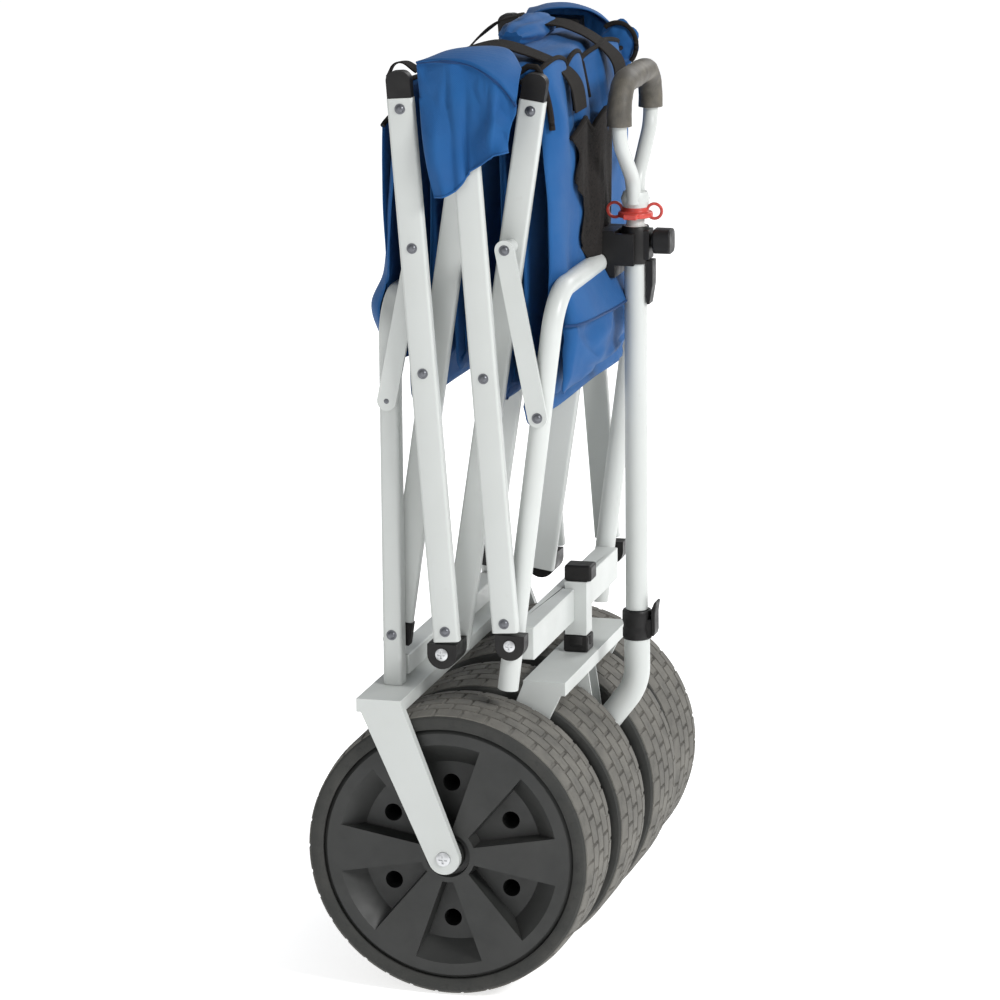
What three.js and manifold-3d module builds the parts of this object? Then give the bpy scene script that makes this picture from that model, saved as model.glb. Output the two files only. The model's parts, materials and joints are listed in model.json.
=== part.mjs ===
// A folding utility wagon with a pull handle, folded flat and standing on its four wheels.
// Millimetres. +X is the direction of travel (the handle's side), +Y the wagon's left, +Z up.
// The origin is on the ground under the middle of the folded wagon's wheels.

import * as THREE from 'three';
import { mergeVertices } from 'three/addons/utils/BufferGeometryUtils.js';
import Module from 'manifold-3d';

const wasm = await Module();
wasm.setup();

// ---------------------------------------------------------------- driving dimensions

const GAP = 0.3;                     // air between pieces that touch

const WHEEL_R = 127;                 // 10 inch wheels
const WHEEL_W = 91;
const RIM_R = 112;
const AXLE_R = 6;
const REAR_WHEEL_Y = 163.3;          // middle of a rear wheel, outside the front ones
const FRONT_WHEEL_Y = 60;
const REAR_AXLE_X = -2.6;
const FRONT_AXLE_X = 2.6;

const BAR_L = 476.8;                 // pivot to pivot
const BAR_W = 23;
const BAR_T = 10;
const BAR_END = 11;                  // tube past its pivot
const ANGLE_BACK = -4.27;            // bars whose top leans to the rear, in degrees
const ANGLE_FORWARD = 8.6;           // bars whose top leans to the front
const REAR_PIVOT = [-60.6, 310.9];   // X and Z of the forward bars' pivot on the rear legs
const LEG_LEAN = 7.4;                // the folded front frame leans forward by this
const REAR_LINK_AT = [208, 108.2];   // a link's pins: up its leg from the pivot, up its bar
const FRONT_LINK_AT = [205, 110.5];  // from the crossing

// Layers from the outside in, as the inner and outer distance from the middle plane
const OUTER_BARS = [175.6, 185.6];
const LINK_LAYER = [171, 175];
const LEG_Y = 161;
const INNER_BARS = [141, 151];

const LEG_R = 9;
const LEG_TOP = 617;
const LEG_BEND = 34;

const HANDLE_X = 116.7;
const GRIP_HALF = 57;
const GRIP_TOP = 780;
const GRIP_BEND = 26;

// ---------------------------------------------------------------- materials

const material = (color, roughness, metalness = 0) =>
  new THREE.MeshStandardMaterial({ color, roughness, metalness });
const WHITE = material(0xdfe1df, 0.45, 0.1);
const BLACK = material(0x1c1b1b, 0.6);
const CHARCOAL = material(0x3a3a38, 0.55);
const RUBBER = material(0x6f6a60, 0.9);
const BLUE = material(0x2a6fb8, 0.85);
const STEEL = material(0x9a9c9e, 0.4, 0.8);
const RED = material(0xb63a35, 0.5);
const FOAM = material(0x2a2724, 0.95);

const wagon = new THREE.Group();

function add(name, geometry, look) {
  const mesh = new THREE.Mesh(geometry, look);
  mesh.name = name;
  wagon.add(mesh);
  return mesh;
}

// ---------------------------------------------------------------- solids

function toSolid(geometry) {
  const bare = geometry.clone();
  bare.deleteAttribute('normal');
  bare.deleteAttribute('uv');
  const merged = mergeVertices(bare, 1e-4);
  return new wasm.Manifold(new wasm.Mesh({
    numProp: 3,
    vertProperties: merged.attributes.position.array,
    triVerts: Uint32Array.from(merged.index.array),
  }));
}

function toGeometry(solid) {
  const mesh = solid.getMesh();
  const geometry = new THREE.BufferGeometry();
  geometry.setAttribute('position', new THREE.BufferAttribute(mesh.vertProperties, 3));
  geometry.setIndex(new THREE.BufferAttribute(mesh.triVerts, 1));
  geometry.computeVertexNormals();
  return geometry;
}

function joined(geometries, cuts = []) {
  let solid = toSolid(geometries[0]);
  for (const geometry of geometries.slice(1)) solid = solid.add(toSolid(geometry));
  for (const cut of cuts) solid = solid.subtract(toSolid(cut));
  return toGeometry(solid);
}

function box(x, y, z) {
  const geometry = new THREE.BoxGeometry(x[1] - x[0], y[1] - y[0], z[1] - z[0]);
  return geometry.translate((x[0] + x[1]) / 2, (y[0] + y[1]) / 2, (z[0] + z[1]) / 2);
}

// A round bar from one point to another
function rod(from, to, radius, sides = 16) {
  const start = new THREE.Vector3(...from);
  const run = new THREE.Vector3(...to).sub(start);
  const geometry = new THREE.CylinderGeometry(radius, radius, run.length(), sides);
  geometry.translate(0, run.length() / 2, 0);
  geometry.applyQuaternion(new THREE.Quaternion().setFromUnitVectors(
    new THREE.Vector3(0, 1, 0), run.normalize()));
  return geometry.translate(...from);
}

// A flat piece drawn in X and Z, between two distances along Y
function plate(shape, y) {
  const geometry = new THREE.ExtrudeGeometry(shape, {
    depth: y[1] - y[0], bevelEnabled: false, curveSegments: 8 });
  return geometry.rotateX(Math.PI / 2).translate(0, y[1], 0);
}

// A line through corners, with each corner rounded, that a tube is swept along.
// Its stations lie only where the line bends, so straight stretches cost nothing.
class BentLine extends THREE.Curve {
  constructor(corners, bend, steps = 5) {
    super();
    const points = corners.map((corner) => new THREE.Vector3(...corner));
    this.stations = [[points[0], points[1].clone().sub(points[0]).normalize()]];
    for (let i = 1; i < points.length - 1; i += 1) {
      const into = points[i].clone().sub(points[i - 1]).normalize();
      const out = points[i + 1].clone().sub(points[i]).normalize();
      const half = into.angleTo(out) / 2;
      const reach = bend * Math.tan(half);
      const start = points[i].clone().addScaledVector(into, -reach);
      const inward = out.clone().sub(into).normalize();
      const side = inward.clone().addScaledVector(into, -inward.dot(into)).normalize();
      for (let k = 0; k <= steps; k += 1) {
        const turn = (2 * half * k) / steps;
        const point = start.clone().addScaledVector(into, bend * Math.sin(turn));
        point.addScaledVector(side, bend * (1 - Math.cos(turn)));
        const tangent = into.clone().multiplyScalar(Math.cos(turn));
        this.stations.push([point, tangent.addScaledVector(side, Math.sin(turn))]);
      }
    }
    const last = points.length - 1;
    this.stations.push([points[last], points[last].clone().sub(points[last - 1]).normalize()]);
  }

  station(u) {
    return this.stations[Math.round(u * (this.stations.length - 1))];
  }

  getPoint(u) {
    return this.station(u)[0].clone();
  }

  getPointAt(u) {
    return this.getPoint(u);
  }

  getSpacedPoints(divisions) {
    return Array.from({ length: divisions + 1 }, (_, i) => this.getPoint(i / divisions));
  }

  getTangentAt(u) {
    return this.station(u)[1].clone();
  }
}

function sweep(shape, corners, bend, steps = 5) {
  const line = new BentLine(corners, bend, steps);
  return new THREE.ExtrudeGeometry(shape, {
    steps: line.stations.length - 1, extrudePath: line, bevelEnabled: false, curveSegments: 3 });
}

function ring(radius, sides = 14) {
  const points = [];
  for (let i = 0; i < sides; i += 1) {
    const turn = (2 * Math.PI * i) / sides;
    points.push(new THREE.Vector2(radius * Math.cos(turn), radius * Math.sin(turn)));
  }
  return points;
}

function disc(radius, sides = 14) {
  return new THREE.Shape(ring(radius, sides));
}

function rectangle(width, height, corner = 2.5) {
  const shape = new THREE.Shape();
  const x = width / 2;
  const y = height / 2;
  shape.moveTo(x - corner, -y);
  shape.absarc(x - corner, -y + corner, corner, -Math.PI / 2, 0);
  shape.absarc(x - corner, y - corner, corner, 0, Math.PI / 2);
  shape.absarc(-x + corner, y - corner, corner, Math.PI / 2, Math.PI);
  shape.absarc(-x + corner, -y + corner, corner, Math.PI, 1.5 * Math.PI);
  return shape;
}

const SIDES = [['right', -1], ['left', 1]];
const across = (layer, side) => (side > 0 ? layer : [-layer[1], -layer[0]]);
const radians = THREE.MathUtils.degToRad;

// The point that lies so far up a line that leans by an angle
function along(start, angle, distance) {
  return [
    start[0] + distance * Math.sin(radians(angle)),
    start[1] + distance * Math.cos(radians(angle)),
  ];
}

const REAR_CROSSING = along(REAR_PIVOT, ANGLE_FORWARD, BAR_L / 2);
const FLOOR_PIVOT = along(REAR_CROSSING, ANGLE_BACK, -BAR_L / 2);
const FRONT_CROSSING = along(FLOOR_PIVOT, ANGLE_FORWARD, BAR_L / 2);
const FRONT_PIVOT = along(FRONT_CROSSING, ANGLE_BACK, -BAR_L / 2);
const TOP_PIVOT = along(REAR_PIVOT, ANGLE_FORWARD, BAR_L);
const REAR_TOP = along(FLOOR_PIVOT, ANGLE_BACK, BAR_L);
const FRONT_TOP = along(FLOOR_PIVOT, ANGLE_FORWARD, BAR_L);
const REAR_LINK_LEG = along(REAR_PIVOT, 0, REAR_LINK_AT[0]);
const REAR_LINK_BAR = along(REAR_CROSSING, ANGLE_BACK, REAR_LINK_AT[1]);
const FRONT_LINK_LEG = along(FRONT_PIVOT, LEG_LEAN, FRONT_LINK_AT[0]);
const FRONT_LINK_BAR = along(FRONT_CROSSING, ANGLE_FORWARD, FRONT_LINK_AT[1]);

// ---------------------------------------------------------------- wheels

const WHEEL_SIDES = 40;
const SPOKES = 6;

const WEB = 33;                      // half the rim's thickness between its spokes
const HUB_R = 24;
const LIP_IN = 104;                  // where the rim's outer lip starts

// One wedge-shaped spoke that stands out of both faces of the rim's web
function spoke(turn) {
  const shape = new THREE.Shape();
  shape.moveTo(-8, HUB_R - 4);
  shape.lineTo(8, HUB_R - 4);
  shape.lineTo(24, LIP_IN + 2);
  shape.lineTo(-24, LIP_IN + 2);
  return plate(shape, [-WEB - 7, WEB + 7]).rotateY(turn);
}

function rim() {
  const lip = WHEEL_W / 2 - 3.5;
  const bore = AXLE_R + GAP;
  const profile = [
    [bore, -lip], [HUB_R, -lip], [HUB_R, -WEB], [LIP_IN, -WEB], [LIP_IN, -lip], [RIM_R, -lip],
    [RIM_R, lip], [LIP_IN, lip], [LIP_IN, WEB], [HUB_R, WEB], [HUB_R, lip], [bore, lip], [bore, -lip],
  ].map(([radius, y]) => new THREE.Vector2(radius, y));
  const pieces = [new THREE.LatheGeometry(profile, WHEEL_SIDES)];
  for (let i = 0; i < SPOKES; i += 1) {
    pieces.push(spoke((2 * Math.PI * i) / SPOKES));
  }
  return joined(pieces);
}

function tyre() {
  const inner = RIM_R + GAP;
  const profile = [
    [inner, -44], [118, -WHEEL_W / 2], [WHEEL_R - 2, -42], [WHEEL_R, -36], [WHEEL_R, 36],
    [WHEEL_R - 2, 42], [118, WHEEL_W / 2], [inner, 44], [inner, -44],
  ].map(([radius, y]) => new THREE.Vector2(radius, y));
  return new THREE.LatheGeometry(profile, WHEEL_SIDES);
}

const AXLES = [
  ['rear', REAR_AXLE_X, REAR_WHEEL_Y, [119, 223]],
  ['front', FRONT_AXLE_X, FRONT_WHEEL_Y, [17, 114]],
];

for (const [end, x, wheelY, pin] of AXLES) {
  for (const [name, side] of SIDES) {
    add(`${end}_rim_${name}`, rim(), CHARCOAL).position.set(x, side * wheelY, WHEEL_R);
    add(`${end}_tyre_${name}`, tyre(), RUBBER).position.set(x, side * wheelY, WHEEL_R);
    const shank = rod([x, side * pin[0], WHEEL_R], [x, side * pin[1], WHEEL_R], AXLE_R);
    const pieces = [shank];
    if (end === 'rear') pieces.push(rod([x, side * 218.7, WHEEL_R], [x, side * 223, WHEEL_R], 11));
    add(`${end}_axle_${name}`, joined(pieces), STEEL);
  }
}

// ---------------------------------------------------------------- forks over the wheels

function forkArm(top, topZ, hubX, hubR, y) {
  const dx = hubX - (top[0] + top[1]) / 2;
  const lean = Math.atan2(-dx, topZ - WHEEL_R);
  const shape = new THREE.Shape();
  shape.moveTo(top[0], topZ);
  shape.lineTo(top[1], topZ);
  shape.absarc(hubX, WHEEL_R, hubR, -lean, -lean - Math.PI, true);
  return plate(shape, y);
}

function fork(top, height, arm, hubX, hubR) {
  const pieces = [box(top, [-arm[1], arm[1]], height)];
  const holes = [];
  for (const [, side] of SIDES) {
    pieces.push(forkArm(top, height[1] - 3, hubX, hubR, across(arm, side)));
    const hole = AXLE_R + GAP;
    holes.push(rod([hubX, side * (arm[0] - 5), WHEEL_R], [hubX, side * (arm[1] + 5), WHEEL_R], hole));
  }
  return { pieces, holes };
}

const REAR_FORK_TOP = 266;
const rearFork = fork([-79, -39], [REAR_FORK_TOP - 12, REAR_FORK_TOP], [210.4, 218.4], REAR_AXLE_X, 14);
add('rear_fork', joined(rearFork.pieces, rearFork.holes), WHITE);

const FRONT_FORK_TOP = 262;
const CLEVIS = [12, 14.2];
const HANDLE_PIVOT = [74, 178];
const frontFork = fork([42, 80], [FRONT_FORK_TOP - 12, FRONT_FORK_TOP], [107, 114.6], FRONT_AXLE_X, 12);
for (const [, side] of SIDES) {
  const ear = new THREE.Shape();
  ear.moveTo(56, FRONT_FORK_TOP - 8);
  ear.lineTo(74, FRONT_FORK_TOP - 8);
  ear.lineTo(HANDLE_PIVOT[0] + 11, HANDLE_PIVOT[1]);
  ear.absarc(...HANDLE_PIVOT, 11, 0, -Math.PI, true);
  frontFork.pieces.push(plate(ear, across(CLEVIS, side)));
}
add('steering_fork', joined(frontFork.pieces, frontFork.holes), WHITE);

// ---------------------------------------------------------------- steering post

const POST_X = 63;
const POST = [277.5, 326.5];
const POST_W = 20;
const PIN_R = 7;
const FLANGE_H = 9;
add('kingpin', joined([
  rod([POST_X, 0, POST[0] - GAP - FLANGE_H], [POST_X, 0, POST[0] - GAP], 13, 20),
  rod([POST_X, 0, FRONT_FORK_TOP + GAP], [POST_X, 0, POST[1] - 4], PIN_R),
]), BLACK);

function square(size, z) {
  return box([POST_X - size / 2, POST_X + size / 2], [-size / 2, size / 2], z);
}

const postBore = rod([POST_X, 0, POST[0] - 5], [POST_X, 0, POST[1] + 5], PIN_R + GAP);
add('steering_post', joined([square(POST_W, POST)], [postBore]), WHITE);
add('steering_post_cap', joined([
  square(POST_W + 1, [POST[1] + GAP, POST[1] + 18]),
  box([POST_X + 8, POST_X + 14.5], [-4, 4], [POST[1] + 7, POST[1] + 14]),
]), BLACK);

// ---------------------------------------------------------------- rear frame

const legTube = rectangle(17, 17, 3);
add('rear_u_frame', sweep(legTube, [
  [REAR_PIVOT[0], -LEG_Y, REAR_FORK_TOP + GAP], [REAR_PIVOT[0], -LEG_Y, LEG_TOP],
  [REAR_PIVOT[0], LEG_Y, LEG_TOP], [REAR_PIVOT[0], LEG_Y, REAR_FORK_TOP + GAP],
], LEG_BEND), WHITE);
add('rear_lower_rail', box([-68, -50], [-LEG_Y + 8.8, LEG_Y - 8.8], [272, 290]), WHITE);

// ---------------------------------------------------------------- front frame

const frontLegX = (z) => FRONT_PIVOT[0] + (z - FRONT_PIVOT[1]) * Math.tan(radians(LEG_LEAN));
const FRONT_FOOT = 268;
add('front_u_frame', sweep(disc(LEG_R), [
  [frontLegX(FRONT_FOOT), -LEG_Y, FRONT_FOOT], [frontLegX(LEG_TOP), -LEG_Y, LEG_TOP],
  [frontLegX(LEG_TOP), LEG_Y, LEG_TOP], [frontLegX(FRONT_FOOT), LEG_Y, FRONT_FOOT],
], LEG_BEND), WHITE);
add('front_lower_rail', joined(
  [box([42, 62], [-LEG_Y + 9.4, LEG_Y - 9.4], [291, 320])],
  [square(POST_W + 2 * GAP, [286, 330])],
), WHITE);

// The block that holds the upright handle against the front frame
const railX = frontLegX(LEG_TOP);
add('handle_rest', joined([
  box([railX - 13, HANDLE_X - 14], [-20, 20], [LEG_TOP - 13, LEG_TOP + 28]),
  box([HANDLE_X - 15, HANDLE_X + 3], [-20, -16], [LEG_TOP - 2, LEG_TOP + 26]),
  box([HANDLE_X - 15, HANDLE_X + 3], [16, 20], [LEG_TOP - 2, LEG_TOP + 26]),
], [rod([railX, -30, LEG_TOP], [railX, 30, LEG_TOP], LEG_R + GAP)]), BLACK);

// ---------------------------------------------------------------- side bars, caps and brackets

// A bar that starts at a pivot, leans by an angle, and runs in one layer
function bar(name, pivot, angle, layer, side, from = -BAR_END, past = BAR_END) {
  const tube = new THREE.ExtrudeGeometry(rectangle(BAR_W, BAR_T), {
    depth: BAR_L + past - from, bevelEnabled: false, curveSegments: 2 });
  const mesh = add(name, tube.translate(0, 0, from), WHITE);
  mesh.rotation.y = radians(angle);
  mesh.position.set(pivot[0], (side * (layer[0] + layer[1])) / 2, pivot[1]);
}

const CAPPED_END = -2;               // a capped bar's tube stops this far past its top corner

// A cap on the top end of a bar, with a rounded top
function cornerCap(name, pivot, angle, layer, side) {
  const half = BAR_W / 2 - 1;
  const shape = new THREE.Shape();
  shape.moveTo(-half, CAPPED_END + GAP);
  shape.lineTo(half, CAPPED_END + GAP);
  shape.lineTo(half, CAPPED_END + 15);
  shape.absarc(half - 8, CAPPED_END + 15, 8, 0, Math.PI / 2);
  shape.absarc(-half + 8, CAPPED_END + 15, 8, Math.PI / 2, Math.PI);
  const mesh = add(name, plate(shape, across(layer, side)), BLACK);
  mesh.rotation.y = radians(angle);
  mesh.position.set(pivot[0], 0, pivot[1]);
}

const BRACKET_TOP = 9;
const FLOOR_SCREW = [-4, -8.5];      // where a bracket's screw is, from the bar's pivot
const FRONT_SCREW = [3, 4.5];

function bracket(name, pivot, screw, layer, side) {
  const shape = new THREE.Shape();
  shape.moveTo(-13, BRACKET_TOP);
  shape.lineTo(-13, 0);
  shape.absarc(0, 0, 13, Math.PI, 2 * Math.PI);
  shape.lineTo(13, BRACKET_TOP);
  const mesh = add(name, plate(shape, across(layer, side)), BLACK);
  mesh.position.set(pivot[0] + screw[0], 0, pivot[1] + screw[1]);
}

// A bar's tilted end stays this far above the bracket that it stands on
const barFoot = (screw) => screw[1] + BRACKET_TOP + 2.2;
for (const [name, side] of SIDES) {
  const rearFoot = barFoot(FLOOR_SCREW);
  const frontFoot = barFoot(FRONT_SCREW);
  bar(`rear_outer_bar_${name}`, FLOOR_PIVOT, ANGLE_BACK, OUTER_BARS, side, rearFoot, CAPPED_END);
  bar(`front_outer_bar_${name}`, FRONT_PIVOT, ANGLE_BACK, OUTER_BARS, side, frontFoot);
  bar(`rear_inner_bar_${name}`, REAR_PIVOT, ANGLE_FORWARD, INNER_BARS, side);
  bar(`front_inner_bar_${name}`, FLOOR_PIVOT, ANGLE_FORWARD, INNER_BARS, side, -BAR_END, CAPPED_END);
  cornerCap(`rear_corner_cap_${name}`, REAR_TOP, ANGLE_BACK, OUTER_BARS, side);
  cornerCap(`front_corner_cap_${name}`, FRONT_TOP, ANGLE_FORWARD, INNER_BARS, side);
  const floorLayer = [INNER_BARS[1] + GAP, OUTER_BARS[1]];
  const frontLayer = [LEG_Y + LEG_R + GAP, OUTER_BARS[1]];
  bracket(`floor_bracket_${name}`, FLOOR_PIVOT, FLOOR_SCREW, floorLayer, side);
  bracket(`front_bracket_${name}`, FRONT_PIVOT, FRONT_SCREW, frontLayer, side);
}

// ---------------------------------------------------------------- links between legs and bars

function link(name, low, high, side, spacer) {
  const dx = high[0] - low[0];
  const dz = high[1] - low[1];
  const lean = Math.atan2(dx, dz);
  const half = 8.5;
  const shape = new THREE.Shape();
  shape.absarc(low[0], low[1], half, -lean, -lean - Math.PI, true);
  shape.absarc(high[0], high[1], half, -lean - Math.PI, -lean - 2 * Math.PI, true);
  const pieces = [plate(shape, across(LINK_LAYER, side))];
  if (spacer) {
    const inner = side * (INNER_BARS[1] + GAP);
    pieces.push(rod([high[0], inner, high[1]], [high[0], side * LINK_LAYER[1], high[1]], 6));
  }
  add(name, joined(pieces), WHITE);
}

for (const [name, side] of SIDES) {
  link(`rear_link_${name}`, REAR_LINK_LEG, REAR_LINK_BAR, side, false);
  link(`front_link_${name}`, FRONT_LINK_LEG, FRONT_LINK_BAR, side, true);
}

// ---------------------------------------------------------------- top hubs and their flaps

const FLAP = [OUTER_BARS[1] + 1, OUTER_BARS[1] + 5];
for (const [name, side] of SIDES) {
  const hub = box([-17, 17], across([INNER_BARS[1] + GAP, OUTER_BARS[0] - GAP], side), [-12, 24]);
  add(`top_hub_${name}`, hub, BLACK).position.set(TOP_PIVOT[0], 0, TOP_PIVOT[1]);
  const cloth = new THREE.Shape();
  cloth.moveTo(-42, 30);
  cloth.lineTo(-24, -84);
  cloth.lineTo(4, -78);
  cloth.lineTo(26, -52);
  cloth.lineTo(46, -40);
  cloth.lineTo(50, 30);
  cloth.lineTo(30, 50);
  cloth.lineTo(-30, 50);
  const flap = add(`side_flap_${name}`, plate(cloth, across(FLAP, side)), BLUE);
  flap.position.set(TOP_PIVOT[0], 0, TOP_PIVOT[1]);
}

// ---------------------------------------------------------------- folded fabric

const CLOTH_Y = INNER_BARS[0] - 3;
const cloth = (name, x, y, z) => add(name, box(x, [-y, y], z), BLUE);
cloth('canvas_rear_wall', [-84, -70], CLOTH_Y, [565, 798]);
cloth('canvas_floor_and_sides', [-50, 52], CLOTH_Y - 4, [548, 797]);
cloth('canvas_front_wall', [53, railX - 14], CLOTH_Y, [545, 797]);
cloth('canopy_bundle', [20, 85], CLOTH_Y - 18, [799, 838]);

// ---------------------------------------------------------------- pull handle

const TUBE_R = 10;
const LOWER_R = 11.5;
const COLLAR = [276, 303];
const SLEEVE = [615, 648];
add('handle_lower_tube', sweep(disc(LOWER_R, 16), [
  [HANDLE_PIVOT[0], 0, HANDLE_PIVOT[1]], [HANDLE_X, 0, 248], [HANDLE_X, 0, COLLAR[0] - GAP],
], 40, 4), WHITE);
add('clamp_collar', joined([
  rod([HANDLE_X, 0, COLLAR[0]], [HANDLE_X, 0, COLLAR[1] - GAP], 14.5, 20),
  box([HANDLE_X + 8, HANDLE_X + 14.7], [-7, 7], [COLLAR[0] + 2, COLLAR[1] - 8]),
], []), BLACK);
add('clamp_lever', joined([
  box([HANDLE_X + 15.3, HANDLE_X + 20], [-8, 8], [COLLAR[0] + 4, COLLAR[1] + 8]),
]), BLACK);
const hollow = disc(TUBE_R, 16);
hollow.holes.push(new THREE.Path(ring(TUBE_R - 1.4, 16).reverse()));
add('handle_main_tube', new THREE.ExtrudeGeometry(hollow, {
  depth: SLEEVE[1] - COLLAR[1], bevelEnabled: false }).translate(HANDLE_X, 0, COLLAR[1]), WHITE);

const sleeveHole = rod([HANDLE_X, 0, SLEEVE[0] - 5], [HANDLE_X, 0, SLEEVE[1] + 5], TUBE_R + GAP);
add('height_clamp', joined([
  rod([HANDLE_X, 0, SLEEVE[0]], [HANDLE_X, 0, SLEEVE[1]], 12.8, 20),
  box([HANDLE_X + 6, HANDLE_X + 14], [-9, 9], [SLEEVE[0] + 4, SLEEVE[1] - 3]),
], [sleeveHole]), BLACK);
const KNOB_Z = SLEEVE[0] + 20;
add('height_knob', joined([
  rod([HANDLE_X + 14.3, 0, KNOB_Z], [HANDLE_X + 18, 0, KNOB_Z], 7),
  rod([HANDLE_X + 17, 0, KNOB_Z], [HANDLE_X + 33, 0, KNOB_Z], 12.5, 16),
]), BLACK);

// The fork-shaped yoke: a stem in the main tube, two arms and the loop inside the grip
const YOKE = [668, 738];
const NECK = 7.5;                    // where the two arms come together, from the middle
const yokeLoop = sweep(disc(6.5, 10), [
  [HANDLE_X, -NECK, YOKE[0]], [HANDLE_X, -NECK, YOKE[0] + 20], [HANDLE_X, -GRIP_HALF, YOKE[1] - 8],
  [HANDLE_X, -GRIP_HALF, GRIP_TOP], [HANDLE_X, GRIP_HALF, GRIP_TOP],
  [HANDLE_X, GRIP_HALF, YOKE[1] - 8], [HANDLE_X, NECK, YOKE[0] + 20], [HANDLE_X, NECK, YOKE[0]],
], GRIP_BEND, 4);
add('handle_yoke', joined([
  yokeLoop,
  rod([HANDLE_X, 0, 400], [HANDLE_X, 0, YOKE[0] + 4], 8),
  rod([HANDLE_X, -12, YOKE[0] + 3], [HANDLE_X, 12, YOKE[0] + 3], 6.5),
]), WHITE);
add('release_collar', joined(
  [
    rod([HANDLE_X, 0, 650 + 5.5], [HANDLE_X, 0, YOKE[0] - 7], 15, 20),
    box([HANDLE_X - 6, HANDLE_X + 6], [-22, 22], [656, 660.5]),
  ],
  [rod([HANDLE_X, 0, 640], [HANDLE_X, 0, 680], 8 + GAP)],
), RED);

const foam = disc(10.5, 14);
foam.holes.push(new THREE.Path(ring(6.5 + GAP, 14).reverse()));
add('grip', sweep(foam, [
  [HANDLE_X, -GRIP_HALF, YOKE[1] + 14], [HANDLE_X, -GRIP_HALF, GRIP_TOP],
  [HANDLE_X, GRIP_HALF, GRIP_TOP], [HANDLE_X, GRIP_HALF, YOKE[1] + 14],
], GRIP_BEND, 4), FOAM);

// ---------------------------------------------------------------- origin

const bounds = new THREE.Box3().setFromObject(wagon);
wagon.position.x = -(bounds.min.x + bounds.max.x) / 2;

export default wagon;
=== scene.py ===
# The looks of a folded utility wagon with a pull handle, built around its CAD frame.
# Metres. +X is the handle's side, +Y the wagon's left, +Z up; sides named right are at -Y.
import json
import math

import bmesh
import bpy
from mathutils import Matrix, Vector, noise


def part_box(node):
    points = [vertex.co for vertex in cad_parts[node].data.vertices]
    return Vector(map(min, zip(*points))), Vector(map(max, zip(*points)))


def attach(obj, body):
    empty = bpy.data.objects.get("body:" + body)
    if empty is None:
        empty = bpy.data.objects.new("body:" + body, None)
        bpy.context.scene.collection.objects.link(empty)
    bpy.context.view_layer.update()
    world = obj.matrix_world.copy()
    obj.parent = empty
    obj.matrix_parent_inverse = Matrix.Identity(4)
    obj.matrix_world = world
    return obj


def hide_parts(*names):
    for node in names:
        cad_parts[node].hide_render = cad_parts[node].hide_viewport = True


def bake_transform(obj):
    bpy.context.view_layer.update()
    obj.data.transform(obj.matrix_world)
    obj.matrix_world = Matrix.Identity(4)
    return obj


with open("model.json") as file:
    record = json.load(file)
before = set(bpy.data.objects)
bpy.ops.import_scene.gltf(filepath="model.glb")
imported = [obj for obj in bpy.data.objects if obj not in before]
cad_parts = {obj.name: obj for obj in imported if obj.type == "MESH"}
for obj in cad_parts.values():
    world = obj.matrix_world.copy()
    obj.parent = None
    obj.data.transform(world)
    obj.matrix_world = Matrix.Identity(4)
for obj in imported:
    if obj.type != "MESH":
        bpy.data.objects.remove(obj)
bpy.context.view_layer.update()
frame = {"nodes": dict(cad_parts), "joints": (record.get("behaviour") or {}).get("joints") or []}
NODES = frame["nodes"]
PIVOTS = {joint["name"]: Vector(joint["pos_m"]) for joint in frame["joints"] if "pos_m" in joint}
SIDES = {"right": -1, "left": 1}

# ---------------------------------------------------------------- materials


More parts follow.
